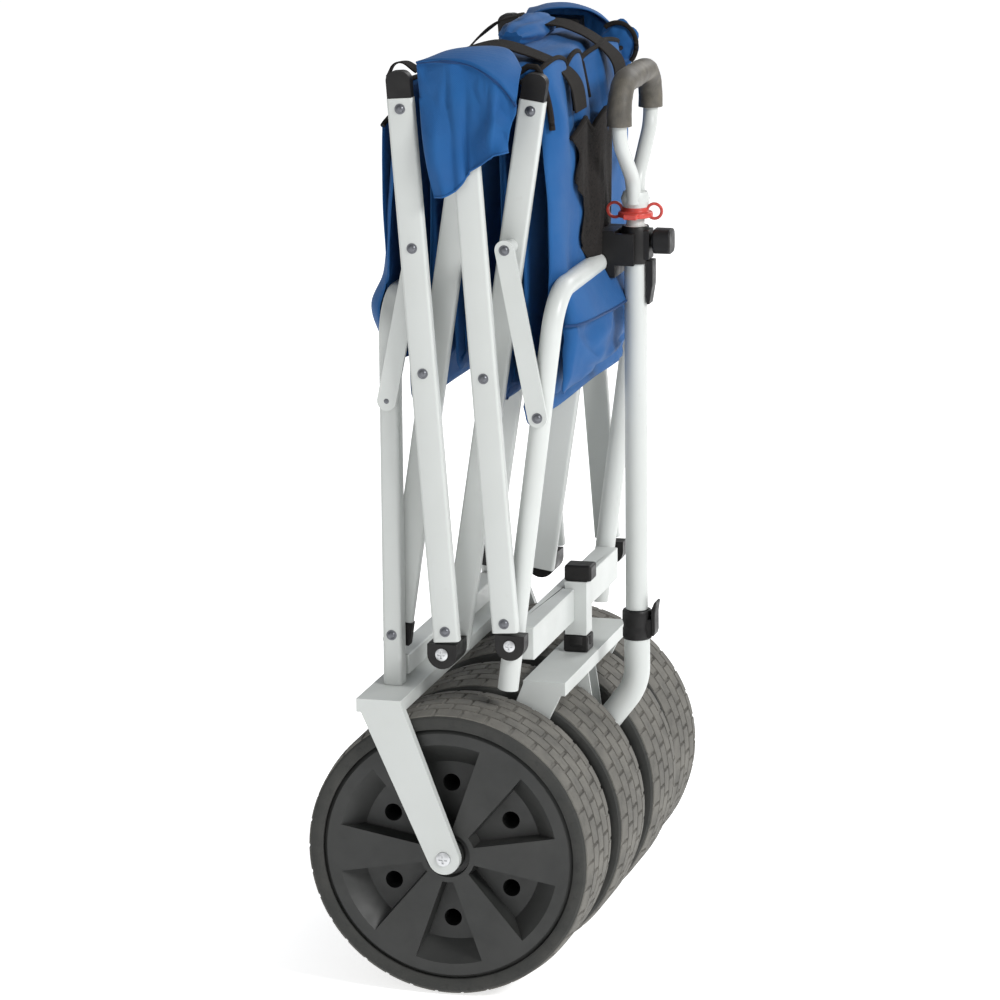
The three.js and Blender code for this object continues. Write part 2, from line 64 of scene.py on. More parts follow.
class Finish:
    """A node material, and the record's material slot that it belongs to."""

    def __init__(self, name, slot, color, roughness, metallic=0.0):
        self.slot = slot
        self.color = (*color, 1)
        self.material = bpy.data.materials.new(name)
        self.material.use_nodes = True
        self.tree = self.material.node_tree
        self.shader = self.tree.nodes["Principled BSDF"]
        self.shader.inputs["Base Color"].default_value = self.color
        self.shader.inputs["Roughness"].default_value = roughness
        self.shader.inputs["Metallic"].default_value = metallic
        self.place = self.tree.nodes.new("ShaderNodeTexCoord").outputs["Object"]

    def link(self, output, target):
        self.tree.links.new(output, target)

    def noise(self, scale, detail=3.0, roughness=0.55):
        node = self.tree.nodes.new("ShaderNodeTexNoise")
        node.inputs["Scale"].default_value = scale
        node.inputs["Detail"].default_value = detail
        node.inputs["Roughness"].default_value = roughness
        self.link(self.place, node.inputs["Vector"])
        return node.outputs["Fac"]

    def bands(self, direction, scale, distortion=0.0):
        node = self.tree.nodes.new("ShaderNodeTexWave")
        node.bands_direction = direction
        node.inputs["Scale"].default_value = scale
        node.inputs["Distortion"].default_value = distortion
        self.link(self.place, node.inputs["Vector"])
        return node.outputs["Fac"]

    def combine(self, operation, first, second):
        node = self.tree.nodes.new("ShaderNodeMath")
        node.operation = operation
        for socket, value in zip(node.inputs, (first, second)):
            if isinstance(value, (int, float)):
                socket.default_value = value
            else:
                self.link(value, socket)
        return node.outputs["Value"]

    def spread(self, value, low, high, new_low=0.0, new_high=1.0):
        node = self.tree.nodes.new("ShaderNodeMapRange")
        for name, number in (("From Min", low), ("From Max", high),
                             ("To Min", new_low), ("To Max", new_high)):
            node.inputs[name].default_value = number
        self.link(value, node.inputs["Value"])
        return node.outputs["Result"]

    def tint(self, share, color):
        """Lays another colour over the base where share is high."""
        node = self.tree.nodes.new("ShaderNodeMix")
        node.data_type = "RGBA"
        self.link(share, node.inputs["Factor"])
        base = self.shader.inputs["Base Color"]
        if base.is_linked:
            self.link(base.links[0].from_socket, node.inputs["A"])
        else:
            node.inputs["A"].default_value = self.color
        node.inputs["B"].default_value = (*color, 1)
        self.link(node.outputs["Result"], base)

    def rough(self, value):
        self.link(value, self.shader.inputs["Roughness"])

    def relief(self, height, strength, distance):
        node = self.tree.nodes.new("ShaderNodeBump")
        node.inputs["Strength"].default_value = strength
        node.inputs["Distance"].default_value = distance
        self.link(height, node.inputs["Height"])
        self.link(node.outputs["Normal"], self.shader.inputs["Normal"])


def powder_coat():
    finish = Finish("powder_coat", "frame_paint", (0.525, 0.545, 0.53), 0.38)
    finish.tint(finish.spread(finish.noise(14), 0.35, 0.75, 0.0, 0.45), (0.465, 0.48, 0.46))
    finish.tint(finish.spread(finish.noise(60, 5), 0.68, 0.76, 0.0, 0.35), (0.42, 0.42, 0.40))
    finish.rough(finish.spread(finish.noise(35), 0.3, 0.7, 0.3, 0.48))
    finish.relief(finish.noise(1400, 2), 0.12, 0.0002)
    return finish


def moulded_black():
    finish = Finish("moulded_black", "black_plastic", (0.007, 0.0065, 0.0065), 0.45)
    finish.tint(finish.spread(finish.noise(50), 0.5, 0.8, 0.0, 0.5), (0.018, 0.017, 0.016))
    finish.shader.inputs["Specular IOR Level"].default_value = 0.3
    finish.rough(finish.spread(finish.noise(90), 0.3, 0.7, 0.35, 0.6))
    finish.relief(finish.noise(1800, 2), 0.25, 0.0002)
    return finish


def wheel_plastic():
    finish = Finish("wheel_plastic", "wheel_plastic", (0.015, 0.016, 0.015), 0.5)
    finish.tint(finish.spread(finish.noise(18, 4), 0.4, 0.75, 0.0, 0.6), (0.027, 0.027, 0.025))
    finish.rough(finish.spread(finish.noise(40), 0.3, 0.7, 0.42, 0.62))
    finish.relief(finish.noise(1500, 3), 0.3, 0.0002)
    return finish


def tyre_rubber(name, color, dust):
    finish = Finish(name, "tyre", color, 0.85)
    finish.tint(finish.spread(finish.noise(45, 5), 0.35, 0.7, 0.0, 0.7), dust)
    finish.tint(finish.spread(finish.noise(170, 4), 0.55, 0.75, 0.0, 0.5), tuple(c * 0.55 for c in color))
    finish.relief(finish.noise(700, 4), 0.4, 0.0005)
    return finish


def canvas(name, color, fade):
    """A coated plain weave, with fine threads both ways and soft fading."""
    finish = Finish(name, "canvas", color, 0.72)
    finish.tint(finish.spread(finish.noise(22, 4), 0.4, 0.8, 0.0, 0.45), fade)
    upright = finish.bands("Z", 330, 1.2)
    level = finish.bands("DIAGONAL", 330, 1.2)
    weave = finish.combine("MULTIPLY", upright, level)
    finish.tint(finish.spread(weave, 0.55, 1.0, 0.0, 0.18), fade)
    finish.rough(finish.spread(finish.noise(30), 0.3, 0.7, 0.62, 0.85))
    finish.relief(finish.combine("ADD", weave, finish.noise(55, 5)), 0.35, 0.0006)
    finish.shader.inputs["Sheen Weight"].default_value = 0.06
    finish.shader.inputs["Specular IOR Level"].default_value = 0.25
    return finish


def webbing():
    finish = Finish("webbing", "webbing", (0.010, 0.0085, 0.0075), 0.85)
    finish.shader.inputs["Specular IOR Level"].default_value = 0.2
    ribs = finish.bands("DIAGONAL", 420, 0.6)
    finish.tint(finish.spread(ribs, 0.5, 1.0, 0.0, 0.5), (0.026, 0.021, 0.018))
    finish.relief(finish.combine("ADD", ribs, finish.noise(300, 3)), 0.6, 0.0005)
    return finish


def mesh_lining():
    """Black net cloth: rows of small holes that show as darker dots."""
    finish = Finish("mesh_lining", "webbing", (0.014, 0.012, 0.011), 0.9)
    finish.shader.inputs["Specular IOR Level"].default_value = 0.2
    cells = finish.tree.nodes.new("ShaderNodeTexVoronoi")
    cells.inputs["Scale"].default_value = 420
    finish.link(finish.place, cells.inputs["Vector"])
    holes = finish.spread(cells.outputs["Distance"], 0.15, 0.45)
    finish.tint(finish.combine("SUBTRACT", 1.0, holes), (0.006, 0.006, 0.006))
    finish.relief(holes, 0.7, 0.0006)
    return finish


def grip_foam():
    finish = Finish("grip_foam", "grip_foam", (0.062, 0.056, 0.046), 0.55)
    finish.tint(finish.spread(finish.noise(60, 4), 0.4, 0.7, 0.0, 0.6), (0.15, 0.135, 0.105))
    finish.relief(finish.noise(900, 5), 0.5, 0.0006)
    return finish


def zinc(name, color, roughness):
    finish = Finish(name, "steel", color, roughness, 0.85)
    finish.tint(finish.spread(finish.noise(150, 4), 0.4, 0.7, 0.0, 0.5), tuple(c * 0.6 for c in color))
    finish.relief(finish.noise(800, 3), 0.2, 0.0002)
    return finish


def red_plastic():
    finish = Finish("red_plastic", "red_plastic", (0.52, 0.055, 0.04), 0.35)
    finish.tint(finish.spread(finish.noise(120, 3), 0.45, 0.75, 0.0, 0.5), (0.34, 0.03, 0.025))
    finish.relief(finish.noise(900, 2), 0.2, 0.0002)
    return finish


PAINT = powder_coat()
BLACK = moulded_black()
CHARCOAL = wheel_plastic()
SIDEWALL = tyre_rubber("tyre_sidewall", (0.027, 0.028, 0.026), (0.042, 0.041, 0.037))
TREAD = tyre_rubber("tyre_tread", (0.100, 0.096, 0.086), (0.170, 0.162, 0.142))
BLUE = canvas("canvas_blue", (0.0065, 0.074, 0.232), (0.012, 0.104, 0.285))
# NAVY colours the flap piping. On the pocket lid's hem it is also a painted shadow line under the lid's edge.
NAVY = canvas("canvas_piping_and_painted_shadow", (0.005, 0.036, 0.125), (0.008, 0.055, 0.175))
WEBBING = webbing()
NET = mesh_lining()
FOAM = grip_foam()
STEEL = zinc("zinc_steel", (0.62, 0.63, 0.64), 0.35)
RIVET = zinc("dark_rivet", (0.16, 0.165, 0.18), 0.4)
RED = red_plastic()

# ---------------------------------------------------------------- shapes


def add_object(name, data):
    made = bpy.data.objects.new(name, data)
    bpy.context.scene.collection.objects.link(made)
    return made


def shade(mesh, angle):
    for polygon in mesh.polygons:
        polygon.use_smooth = True
    mesh.set_sharp_from_angle(angle=math.radians(angle))


def piece(name, mesh, finish, body, *nodes, angle=40):
    """A visible piece that moves with a body and stands for CAD nodes."""
    if body and angle:
        shade(mesh, angle)
    made = add_object(name, mesh)
    if not mesh.materials:
        mesh.materials.append(finish.material)
    if body:
        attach(made, body)
    if nodes:
        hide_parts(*nodes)
    return made


def to_mesh(name, verts, faces):
    mesh = bpy.data.meshes.new(name)
    mesh.from_pydata([tuple(v) for v in verts], [], faces)
    mesh.validate()
    return mesh


def face_outward(mesh):
    work = bmesh.new()
    work.from_mesh(mesh)
    bmesh.ops.recalc_face_normals(work, faces=work.faces)
    work.to_mesh(mesh)
    work.free()


def closed_mesh(name, verts, faces):
    mesh = to_mesh(name, verts, faces)
    face_outward(mesh)
    return mesh


def soften(made, width=0.0008, segments=2):
    """Rounds the sharp edges of a piece."""
    modifier = made.modifiers.new("soften", "BEVEL")
    modifier.width = width
    modifier.segments = segments
    modifier.limit_method = "ANGLE"
    modifier.angle_limit = math.radians(35)
    modifier.harden_normals = True
    return made


def circle(radius, sides=32):
    turns = [2 * math.pi * i / sides for i in range(sides)]
    return [(radius * math.cos(t), radius * math.sin(t)) for t in turns]


def rounded_rectangle(width, height, corner):
    steps = 5
    points = []
    for quarter in range(4):
        x = (width / 2 - corner) * (1, -1, -1, 1)[quarter]
        y = (height / 2 - corner) * (1, 1, -1, -1)[quarter]
        for i in range(steps + 1):
            turn = (quarter + i / steps) * math.pi / 2
            points.append((x + corner * math.cos(turn), y + corner * math.sin(turn)))
    return points


def bent_line(corners, radius):
    """Points along a line through corners, each corner rounded to a radius."""
    steps = 10
    corners = [Vector(corner) for corner in corners]
    points = [corners[0]]
    for before, corner, after in zip(corners, corners[1:], corners[2:]):
        into = (corner - before).normalized()
        out = (after - corner).normalized()
        half = into.angle(out) / 2
        start = corner - into * radius * math.tan(half)
        side = (out - into * out.dot(into)).normalized()
        for i in range(steps + 1):
            turn = 2 * half * i / steps
            points.append(start + into * radius * math.sin(turn) + side * radius * (1 - math.cos(turn)))
    points.append(corners[-1])
    return points


def subdivided(points, step):
    result = [points[0]]
    for before, after in zip(points, points[1:]):
        count = max(1, round((after - before).length / step))
        result += [before.lerp(after, (i + 1) / count) for i in range(count)]
    return result


def tube_faces(rings, sides):
    """The faces of a tube whose points run ring by ring, with a cap at each end."""
    faces = []
    for i in range(rings - 1):
        for k in range(sides):
            a = i * sides + k
            b = i * sides + (k + 1) % sides
            faces.append((a, b, b + sides, a + sides))
    last = (rings - 1) * sides
    faces.append(tuple(reversed(range(sides))))
    faces.append(tuple(last + k for k in range(sides)))
    return faces


def swept(name, path, section, side):
    """A section carried along a path that lies in one plane, whose normal is side."""
    side = Vector(side)
    verts = []
    for i, point in enumerate(path):
        tangent = (path[min(i + 1, len(path) - 1)] - path[max(i - 1, 0)]).normalized()
        up = tangent.cross(side)
        verts += [point + side * u + up * v for u, v in section]
    return closed_mesh(name, verts, tube_faces(len(path), len(section)))


def plate(name, outline, near, far):
    """A flat piece drawn in X and Z, from one distance along Y to another."""
    count = len(outline)
    verts = [(x, near, z) for x, z in outline] + [(x, far, z) for x, z in outline]
    faces = [tuple(range(count)), tuple(reversed(range(count, 2 * count)))]
    faces += [(i, i + count, (i + 1) % count + count, (i + 1) % count) for i in range(count)]
    return closed_mesh(name, verts, faces)


def box_mesh(x, y, z):
    outline = [(min(x), min(z)), (max(x), min(z)), (max(x), max(z)), (min(x), max(z))]
    return plate("box", outline, min(y), max(y))


def turned(name, profile, axis="Y", sides=64):
    """A closed profile of (radius, height) pairs turned about an axis through the origin."""
    verts = []
    for i in range(sides):
        turn = 2 * math.pi * i / sides
        for radius, height in profile:
            a, b = radius * math.cos(turn), radius * math.sin(turn)
            verts.append({"X": (height, a, b), "Y": (b, height, a), "Z": (a, b, height)}[axis])
    count = len(profile)
    faces = []
    for i in range(sides):
        j = (i + 1) % sides
        for k in range(count):
            m = (k + 1) % count
            if profile[k][0] < 1e-9 and profile[m][0] < 1e-9:
                continue
            faces.append((i * count + k, i * count + m, j * count + m, j * count + k))
    mesh = to_mesh(name, verts, faces)
    work = bmesh.new()
    work.from_mesh(mesh)
    bmesh.ops.remove_doubles(work, verts=work.verts, dist=1e-7)
    bmesh.ops.recalc_face_normals(work, faces=work.faces)
    work.to_mesh(mesh)
    work.free()
    return mesh


def merged(name, meshes):
    """One mesh made of several."""
    work = bmesh.new()
    for mesh in meshes:
        work.from_mesh(mesh)
    result = bpy.data.meshes.new(name)
    work.to_mesh(result)
    work.free()
    return result


def moved(mesh, offset):
    mesh.transform(Matrix.Translation(Vector(offset)))
    return mesh


def along(start, lean, distance):
    """The point so far up a line that leans by an angle, in the X and Z plane."""
    return start + Vector((math.sin(lean), 0, math.cos(lean))) * distance


# ---------------------------------------------------------------- where things are

REAR_CROSSING = PIVOTS["rear_bar_cross"]
FRONT_CROSSING = PIVOTS["front_bar_cross"]
TOP = PIVOTS["top_hub_turn"]
REAR_PIVOT = PIVOTS["fold"]
FRONT_PIVOT = PIVOTS["front_frame_turn"]
HALF_BAR = (TOP - REAR_PIVOT).length / 2
ANGLE_FORWARD = math.atan2(TOP.x - REAR_PIVOT.x, TOP.z - REAR_PIVOT.z)
ANGLE_BACK = math.atan2(TOP.x - FRONT_PIVOT.x, TOP.z - FRONT_PIVOT.z)
FLOOR_PIVOT = along(REAR_CROSSING, ANGLE_BACK, -HALF_BAR)
REAR_TOP = along(REAR_CROSSING, ANGLE_BACK, HALF_BAR)
FRONT_TOP = along(FRONT_CROSSING, ANGLE_FORWARD, HALF_BAR)
LEG_LEAN = math.radians(7.4)
LEG_Y = 0.161
LEG_TOP = 0.617
LEG_BEND = 0.034
REAR_TUBE = 0.017            # the rear frame's square tube, and its rounded corner
REAR_TUBE_CORNER = 0.0035
FRONT_TUBE_R = 0.009
LOWER_TUBE_R = 0.0115        # the pull handle's tubes
MAIN_TUBE_R = 0.0100
YOKE_R = 0.0065
FOAM_R = 0.0105
REAR_ARM_FACE = 0.2184       # the outer face of the rear fork's wheel arms
REAR_LINK_UP = 0.1082        # from a bar's crossing up to its link's pin
FRONT_LINK_UP = 0.1105

OUTER_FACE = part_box("rear_outer_bar_left")[1].y
INNER_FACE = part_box("rear_inner_bar_left")[1].y
LINK_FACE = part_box("rear_link_left")[1].y
HANDLE_X = (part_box("handle_main_tube")[0].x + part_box("handle_main_tube")[1].x) / 2

# ---------------------------------------------------------------- the CAD pieces that show


def dress(name, finish, width):
    """Gives a CAD node its material, and rounds its edges."""
    node = NODES[name]
    node.data.materials.clear()
    node.data.materials.append(finish.material)
    if "custom_normal" in node.data.attributes:
        node.data.attributes.remove(node.data.attributes["custom_normal"])
    for polygon in node.data.polygons:
        polygon.use_smooth = True
    weld = node.modifiers.new("weld", "WELD")
    weld.merge_threshold = 0.00001
    soften(node, width)


def dress_cad_pieces():
    for name in ("rear_fork", "steering_fork", "rear_lower_rail", "front_lower_rail", "steering_post"):
        dress(name, PAINT, 0.0015)
    for name in ("kingpin", "steering_post_cap", "handle_rest"):
        dress(name, BLACK, 0.0012)
    for side in SIDES:
        for end in ("rear", "front"):
            dress(f"{end}_outer_bar_{side}", PAINT, 0.0004)
            dress(f"{end}_inner_bar_{side}", PAINT, 0.0004)
            dress(f"{end}_link_{side}", PAINT, 0.0006)
            dress(f"{end}_corner_cap_{side}", BLACK, 0.0015)
        dress(f"floor_bracket_{side}", BLACK, 0.0010)
        dress(f"front_bracket_{side}", BLACK, 0.0010)
        dress(f"top_hub_{side}", BLACK, 0.0020)


# ---------------------------------------------------------------- wheels

WHEEL_R = 0.127
RIM_R = 0.112
LIP = 0.042                  # half the rim's width at its lip
SPOKES = 6
HUB_R = 0.024
BORE_R = 0.0064
POCKET_DEPTH = 0.016         # the hollow between two spokes
POCKET_FACE_R = 0.103        # its outer radius at the face and at its floor
POCKET_FLOOR_R = 0.080
HOLE_R = 0.0078              # the hole through each pocket, and how far out it is
HOLE_OUT = 0.061


def wedge_cutter(turn, face):
    """The pocket between two spokes: wide at the face, smaller at its floor."""
    floor = face * (LIP - POCKET_DEPTH)
    outside = face * (LIP + 0.004)
    rings = []
    for y, outer, inset in ((outside, POCKET_FACE_R, 0.0), (floor, POCKET_FLOOR_R, 0.003)):
        ring = []
        for radius, ends in ((HUB_R + inset, (0, 1)), (outer, (1, 0))):
            half_spoke = 0.0030 + 0.179 * radius + inset * 0.7
            start = math.asin(half_spoke / radius)
            stop = math.pi / 3 - start
            count = 8 if radius == outer else 2
            for i in range(count + 1):
                share = i / count if ends[0] == 0 else 1 - i / count
                angle = turn + start + (stop - start) * share
                ring.append((radius * math.cos(angle), y, radius * math.sin(angle)))
        rings.append(ring)
    count = len(rings[0])
    verts = rings[0] + rings[1]
    faces = [tuple(range(count)), tuple(range(count, 2 * count))]
    faces += [(i, (i + 1) % count, (i + 1) % count + count, i + count) for i in range(count)]
    return closed_mesh("pocket", verts, faces)


def cut(target, cutter_mesh):
    """Subtracts a mesh from an object and keeps the result as its mesh."""
    cutter = add_object("cutter", cutter_mesh)
    modifier = target.modifiers.new("cut", "BOOLEAN")
    modifier.operation = "DIFFERENCE"
    modifier.object = cutter
    modifier.solver = "EXACT"
    modifier.use_self = False
    bake(target)
    bpy.data.objects.remove(cutter)


def bake(made):
    """Replaces an object's mesh with what its modifiers make of it."""
    graph = bpy.context.evaluated_depsgraph_get()
    result = bpy.data.meshes.new_from_object(made.evaluated_get(graph))
    made.modifiers.clear()
    made.data = result
    return made


def rim_mesh():
    """A moulded rim: a lip, six flush spokes and six pockets on each face, and a hole in each pocket."""
    half = [
        (BORE_R, 0.036), (0.010, 0.036), (0.011, LIP), (0.0135, LIP), (0.0145, 0.036), (0.019, 0.036),
        (0.020, LIP), (0.1085, LIP), (0.1105, LIP - 0.0015), (RIM_R, LIP - 0.003),
    ]
    profile = [(radius, -y) for radius, y in half] + [(radius, y) for radius, y in reversed(half)]
    body = add_object("rim_blank", turned("rim", profile, sides=96))
    pockets = []
    for i in range(SPOKES):
        turn = i * math.pi / 3
        pockets += [wedge_cutter(turn, face) for face in (-1, 1)]
    cut(body, merged("pockets", pockets))
    holes = []
    for i in range(SPOKES):
        turn = (i + 0.5) * math.pi / 3
        hole = turned("hole", [(0, -0.06), (HOLE_R, -0.06), (HOLE_R, 0.06), (0, 0.06)], sides=24)
        holes.append(moved(hole, (HOLE_OUT * math.cos(turn), 0, HOLE_OUT * math.sin(turn))))
    cut(body, merged("holes", holes))
    mesh = body.data
    bpy.data.objects.remove(body)
    return mesh


BLOCK_ROWS = (-0.0345, -0.0172, 0.0, 0.0172, 0.0345)
BLOCKS_ROUND = 34
BLOCK_HALF = 0.0080          # half a tread block's width
TREAD_FLOOR_R = 0.1240
AXLE_R = 0.006


def tread_block(turn, y):
    """One low block of the tread, bent round the tyre, with sloping sides."""
    pitch = 2 * math.pi / BLOCKS_ROUND
    verts = []
    for radius, inset in ((TREAD_FLOOR_R, 0.0), (WHEEL_R - 0.0002, 0.0016)):
        for along_turn in (-0.47, -0.16, 0.16, 0.47):
            angle = turn + along_turn * pitch * (1 - inset * 60)
            for across in (-1, 1):
                half = BLOCK_HALF - inset * 0.5
                shoulder = 0.0018 if abs(y + across * half) > 0.036 else 0.0
                reach = radius - shoulder
                verts.append((reach * math.sin(angle), y + across * half, reach * math.cos(angle)))
    faces = []
    for i in range(3):
        a = 8 + 2 * i
        faces.append((a, a + 2, a + 3, a + 1))
        for k in (0, 1):
            b = 2 * i + k
            faces.append((b, b + 2, b + 10, b + 8))
    faces += [(0, 8, 9, 1), (6, 7, 15, 14)]
    return closed_mesh("block", verts, faces)


def tyre_mesh():
    """A moulded tyre: one closed ring with a block pattern; its tread faces take the second material."""
    side = [(RIM_R + 0.0003, 0.0425), (0.1140, 0.0440), (0.1190, 0.0446), (0.1222, 0.0440),
            (0.1242, 0.0418), (0.1247, 0.040)]
    profile = [(radius, -y) for radius, y in side] + [(radius, y) for radius, y in reversed(side)]
    meshes = [turned("carcass", profile, sides=96)]
    pitch = 2 * math.pi / BLOCKS_ROUND
    for row, y in enumerate(BLOCK_ROWS):
        for i in range(BLOCKS_ROUND):
            meshes.append(tread_block((i + 0.5 * (row % 2)) * pitch, y))
    mesh = merged("tyre", meshes)
    mesh.materials.clear()
    mesh.materials.append(SIDEWALL.material)
    mesh.materials.append(TREAD.material)
    for polygon in mesh.polygons:
        centre = polygon.center
        if math.hypot(centre.x, centre.z) > 0.1235:
            polygon.material_index = 1
    return mesh


def phillips(name, finish, body, place, radius, face, *nodes):
    """A pan head screw whose head looks along Y, with a cross in it."""
    profile = [(0, -0.001), (radius, -0.001), (radius, 0.0006), (radius * 0.7, 0.0014), (0, 0.0018)]
    head = add_object(name + "_blank", turned(name, profile, sides=32))
    slots = []
    for wide, tall in ((0.60, 0.15), (0.15, 0.60)):
        w, t = wide * radius, tall * radius
        slots.append(plate("slot", [(-w, -t), (w, -t), (w, t), (-w, t)], 0.0002, 0.01))
    for slot in slots:
        cut(head, slot)
    mesh = head.data
    bpy.data.objects.remove(head)
    if face < 0:
        mesh.transform(Matrix.Rotation(math.pi, 4, "Z"))
    mesh.materials.clear()
    return piece(name, moved(mesh, place), finish, body, *nodes)


def build_wheels():
    rim = rim_mesh()
    rim.materials.clear()
    rim.materials.append(CHARCOAL.material)
    shade(rim, 30)
    tyre = tyre_mesh()
    shade(tyre, 35)
    for end, spin in (("rear", 0.0), ("front", 0.09)):
        for side, sign in SIDES.items():
            low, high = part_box(f"{end}_rim_{side}")
            centre = (low + high) / 2
            wheel = f"{end}_wheel_{side}"
            for mesh, finish, part in ((rim, CHARCOAL, "rim"), (tyre, SIDEWALL, "tyre")):
                made = add_object(f"moulded_{part}_{end}_{side}", mesh)
                made.matrix_world = Matrix.Translation(centre) @ Matrix.Rotation(spin, 4, "Y")
                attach(made, wheel)
                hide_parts(f"{end}_{part}_{side}")
            build_axle(end, side, sign, centre)


def build_axle(end, side, sign, centre):
    low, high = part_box(f"{end}_axle_{side}")
    body = {"rear": "rear_frame", "front": "steering"}[end]
    inner, outer = sorted((abs(low.y), abs(high.y)))
    if end == "rear":
        outer = REAR_ARM_FACE
    shank = turned("axle", [(0, inner), (AXLE_R, inner), (AXLE_R, outer), (0, outer)], sides=24)
    if sign < 0:
        shank.transform(Matrix.Rotation(math.pi, 4, "Z"))
    piece(f"axle_pin_{end}_{side}", moved(shank, (centre.x, 0, centre.z)), STEEL, body,
          f"{end}_axle_{side}")
    if end == "rear":
        phillips(f"axle_screw_{side}", STEEL, body, (centre.x, sign * (outer + 0.0006), centre.z),
                 0.0062, sign)


# ---------------------------------------------------------------- frames


def build_frames():
    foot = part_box("rear_u_frame")[0].z
    x = REAR_PIVOT.x
    top = LEG_TOP - 0.012
    corners = [(x, -LEG_Y, foot), (x, -LEG_Y, top), (x, LEG_Y, top), (x, LEG_Y, foot)]
    section = rounded_rectangle(REAR_TUBE, REAR_TUBE, REAR_TUBE_CORNER)
    mesh = swept("rear_u", bent_line(corners, LEG_BEND), section, (1, 0, 0))
    piece("rear_bent_frame", mesh, PAINT, "rear_frame", "rear_u_frame")

    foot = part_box("front_u_frame")[0].z

    def leg_x(z):
        return FRONT_PIVOT.x + (z - FRONT_PIVOT.z) * math.tan(LEG_LEAN)

    corners = [(leg_x(foot), -LEG_Y, foot), (leg_x(LEG_TOP), -LEG_Y, LEG_TOP),
               (leg_x(LEG_TOP), LEG_Y, LEG_TOP), (leg_x(foot), LEG_Y, foot)]
    side = Vector((math.cos(LEG_LEAN), 0, -math.sin(LEG_LEAN)))
    mesh = swept("front_u", bent_line(corners, LEG_BEND), circle(FRONT_TUBE_R), side)
    piece("front_bent_frame", mesh, PAINT, "front_frame", "front_u_frame")


# ---------------------------------------------------------------- rivets and screws


def rivet(place, face):
    """A domed rivet head that looks along Y, standing on a washer."""
    radius, rise = 0.0034, 0.0016
    profile = [(0, -0.001), (radius * 1.35, -0.001), (radius * 1.35, 0.0003), (radius, 0.0005)]
    profile += [(radius * math.cos(a), 0.0005 + rise * math.sin(a)) for a in (0.5, 1.0, 1.35)]
    mesh = turned("rivet", profile + [(0, 0.0005 + rise)], sides=24)
    if face < 0:
        mesh.transform(Matrix.Rotation(math.pi, 4, "Z"))
    return moved(mesh, place)


def build_rivets():
    """The pins of the linkage, each ridden by the bar whose face it stands on."""
    rear_link = PIVOTS["rear_link_turn"]
    front_link = PIVOTS["front_link_turn"]
    places = {
        "rear_outer_bars": (OUTER_FACE, [
            along(REAR_TOP, ANGLE_BACK, -0.011), along(REAR_CROSSING, ANGLE_BACK, REAR_LINK_UP),
            REAR_CROSSING, along(FLOOR_PIVOT, ANGLE_BACK, 0.012)]),
        "front_outer_bars": (OUTER_FACE, [
            along(FRONT_CROSSING, ANGLE_BACK, 0.0), along(FRONT_PIVOT, ANGLE_BACK, 0.024)]),
        "front_inner_bars": (INNER_FACE, [
            along(FRONT_TOP, ANGLE_FORWARD, -0.011)]),
        "rear_links": (LINK_FACE - 0.0016, [rear_link]),     # flush: the outer bar's end passes over it
        "front_links": (LINK_FACE, [front_link, along(FRONT_CROSSING, ANGLE_FORWARD, FRONT_LINK_UP)]),
        "rear_frame": (LEG_Y + 0.0085, [REAR_PIVOT]),
    }
    for body, (face, points) in places.items():
        heads = []
        for sign in SIDES.values():
            heads += [rivet((point.x, sign * face, point.z), sign) for point in points]
        piece(f"rivets_{body}", merged("rivets", heads), RIVET, body)


def build_bracket_screws():
    for name, body, radius in (("floor", "rear_outer_bars", 0.0055), ("front", "front_outer_bars", 0.0050)):
        for side, sign in SIDES.items():
            low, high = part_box(f"{name}_bracket_{side}")
            x = (low.x + high.x) / 2
            z = low.z + 0.013
            phillips(f"{name}_screw_{side}", STEEL, body, (x, sign * (OUTER_FACE + 0.0004), z), radius, sign)


# ---------------------------------------------------------------- bar ends and steering post


def bar_end_mesh(foot, lean, y, low, high):
    """A black cap that wraps the end of a flat bar, from low to high along it."""
    half_wide, half_thick = 0.0121, 0.0056
    verts = []
    for up in (low, high):
        for across, out in ((-1, -1), (1, -1), (1, 1), (-1, 1)):
            point = along(foot, lean, up) + Vector((math.cos(lean), 0, -math.sin(lean))) * across * half_wide
            verts.append(Vector((point.x, y + out * half_thick, point.z)))
    faces = [(3, 2, 1, 0), (4, 5, 6, 7)]
    faces += [(k, (k + 1) % 4, (k + 1) % 4 + 4, k + 4) for k in range(4)]
    return closed_mesh("bar_end", verts, faces)


def build_bar_ends():
    thickness = 0.005
    for side, sign in SIDES.items():
        y = sign * (INNER_FACE - thickness)
        rear = bar_end_mesh(REAR_PIVOT, ANGLE_FORWARD, y, -0.0125, 0.0085)
        soften(piece(f"rear_bar_end_{side}", rear, BLACK, "rear_inner_bars"), 0.0010)


def build_post():
    low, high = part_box("steering_post_cap")
    made = piece("post_cap", box_mesh((low.x, high.x), (low.y, high.y), (low.z, high.z - 0.003)),
                 BLACK, "front_frame", "steering_post_cap")
    soften(made, 0.0025, 3)
    low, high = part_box("kingpin")
    centre_x, centre_y = (low.x + high.x) / 2, (low.y + high.y) / 2
    half = 0.0112
    post_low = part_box("steering_post")[0].z
    plate_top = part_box("steering_fork")[1].z
    block = box_mesh((centre_x - half, centre_x + half), (centre_y - half, centre_y + half),
                     (plate_top + 0.0003, post_low - 0.0003))
    soften(piece("post_foot", block, BLACK, "steering"), 0.0018, 3)


# ---------------------------------------------------------------- pull handle


def handle_tube(name, corners, radius, bend, finish, body, nodes):
    path = bent_line(corners, bend)
    plane = Vector((0, 1, 0))
    if abs(path[0].x - path[-1].x) < 1e-6 and max(abs(p.y) for p in path) > 0.001:
        plane = Vector((1, 0, 0))
    return piece(name, swept(name, path, circle(radius), plane), finish, body, *nodes)


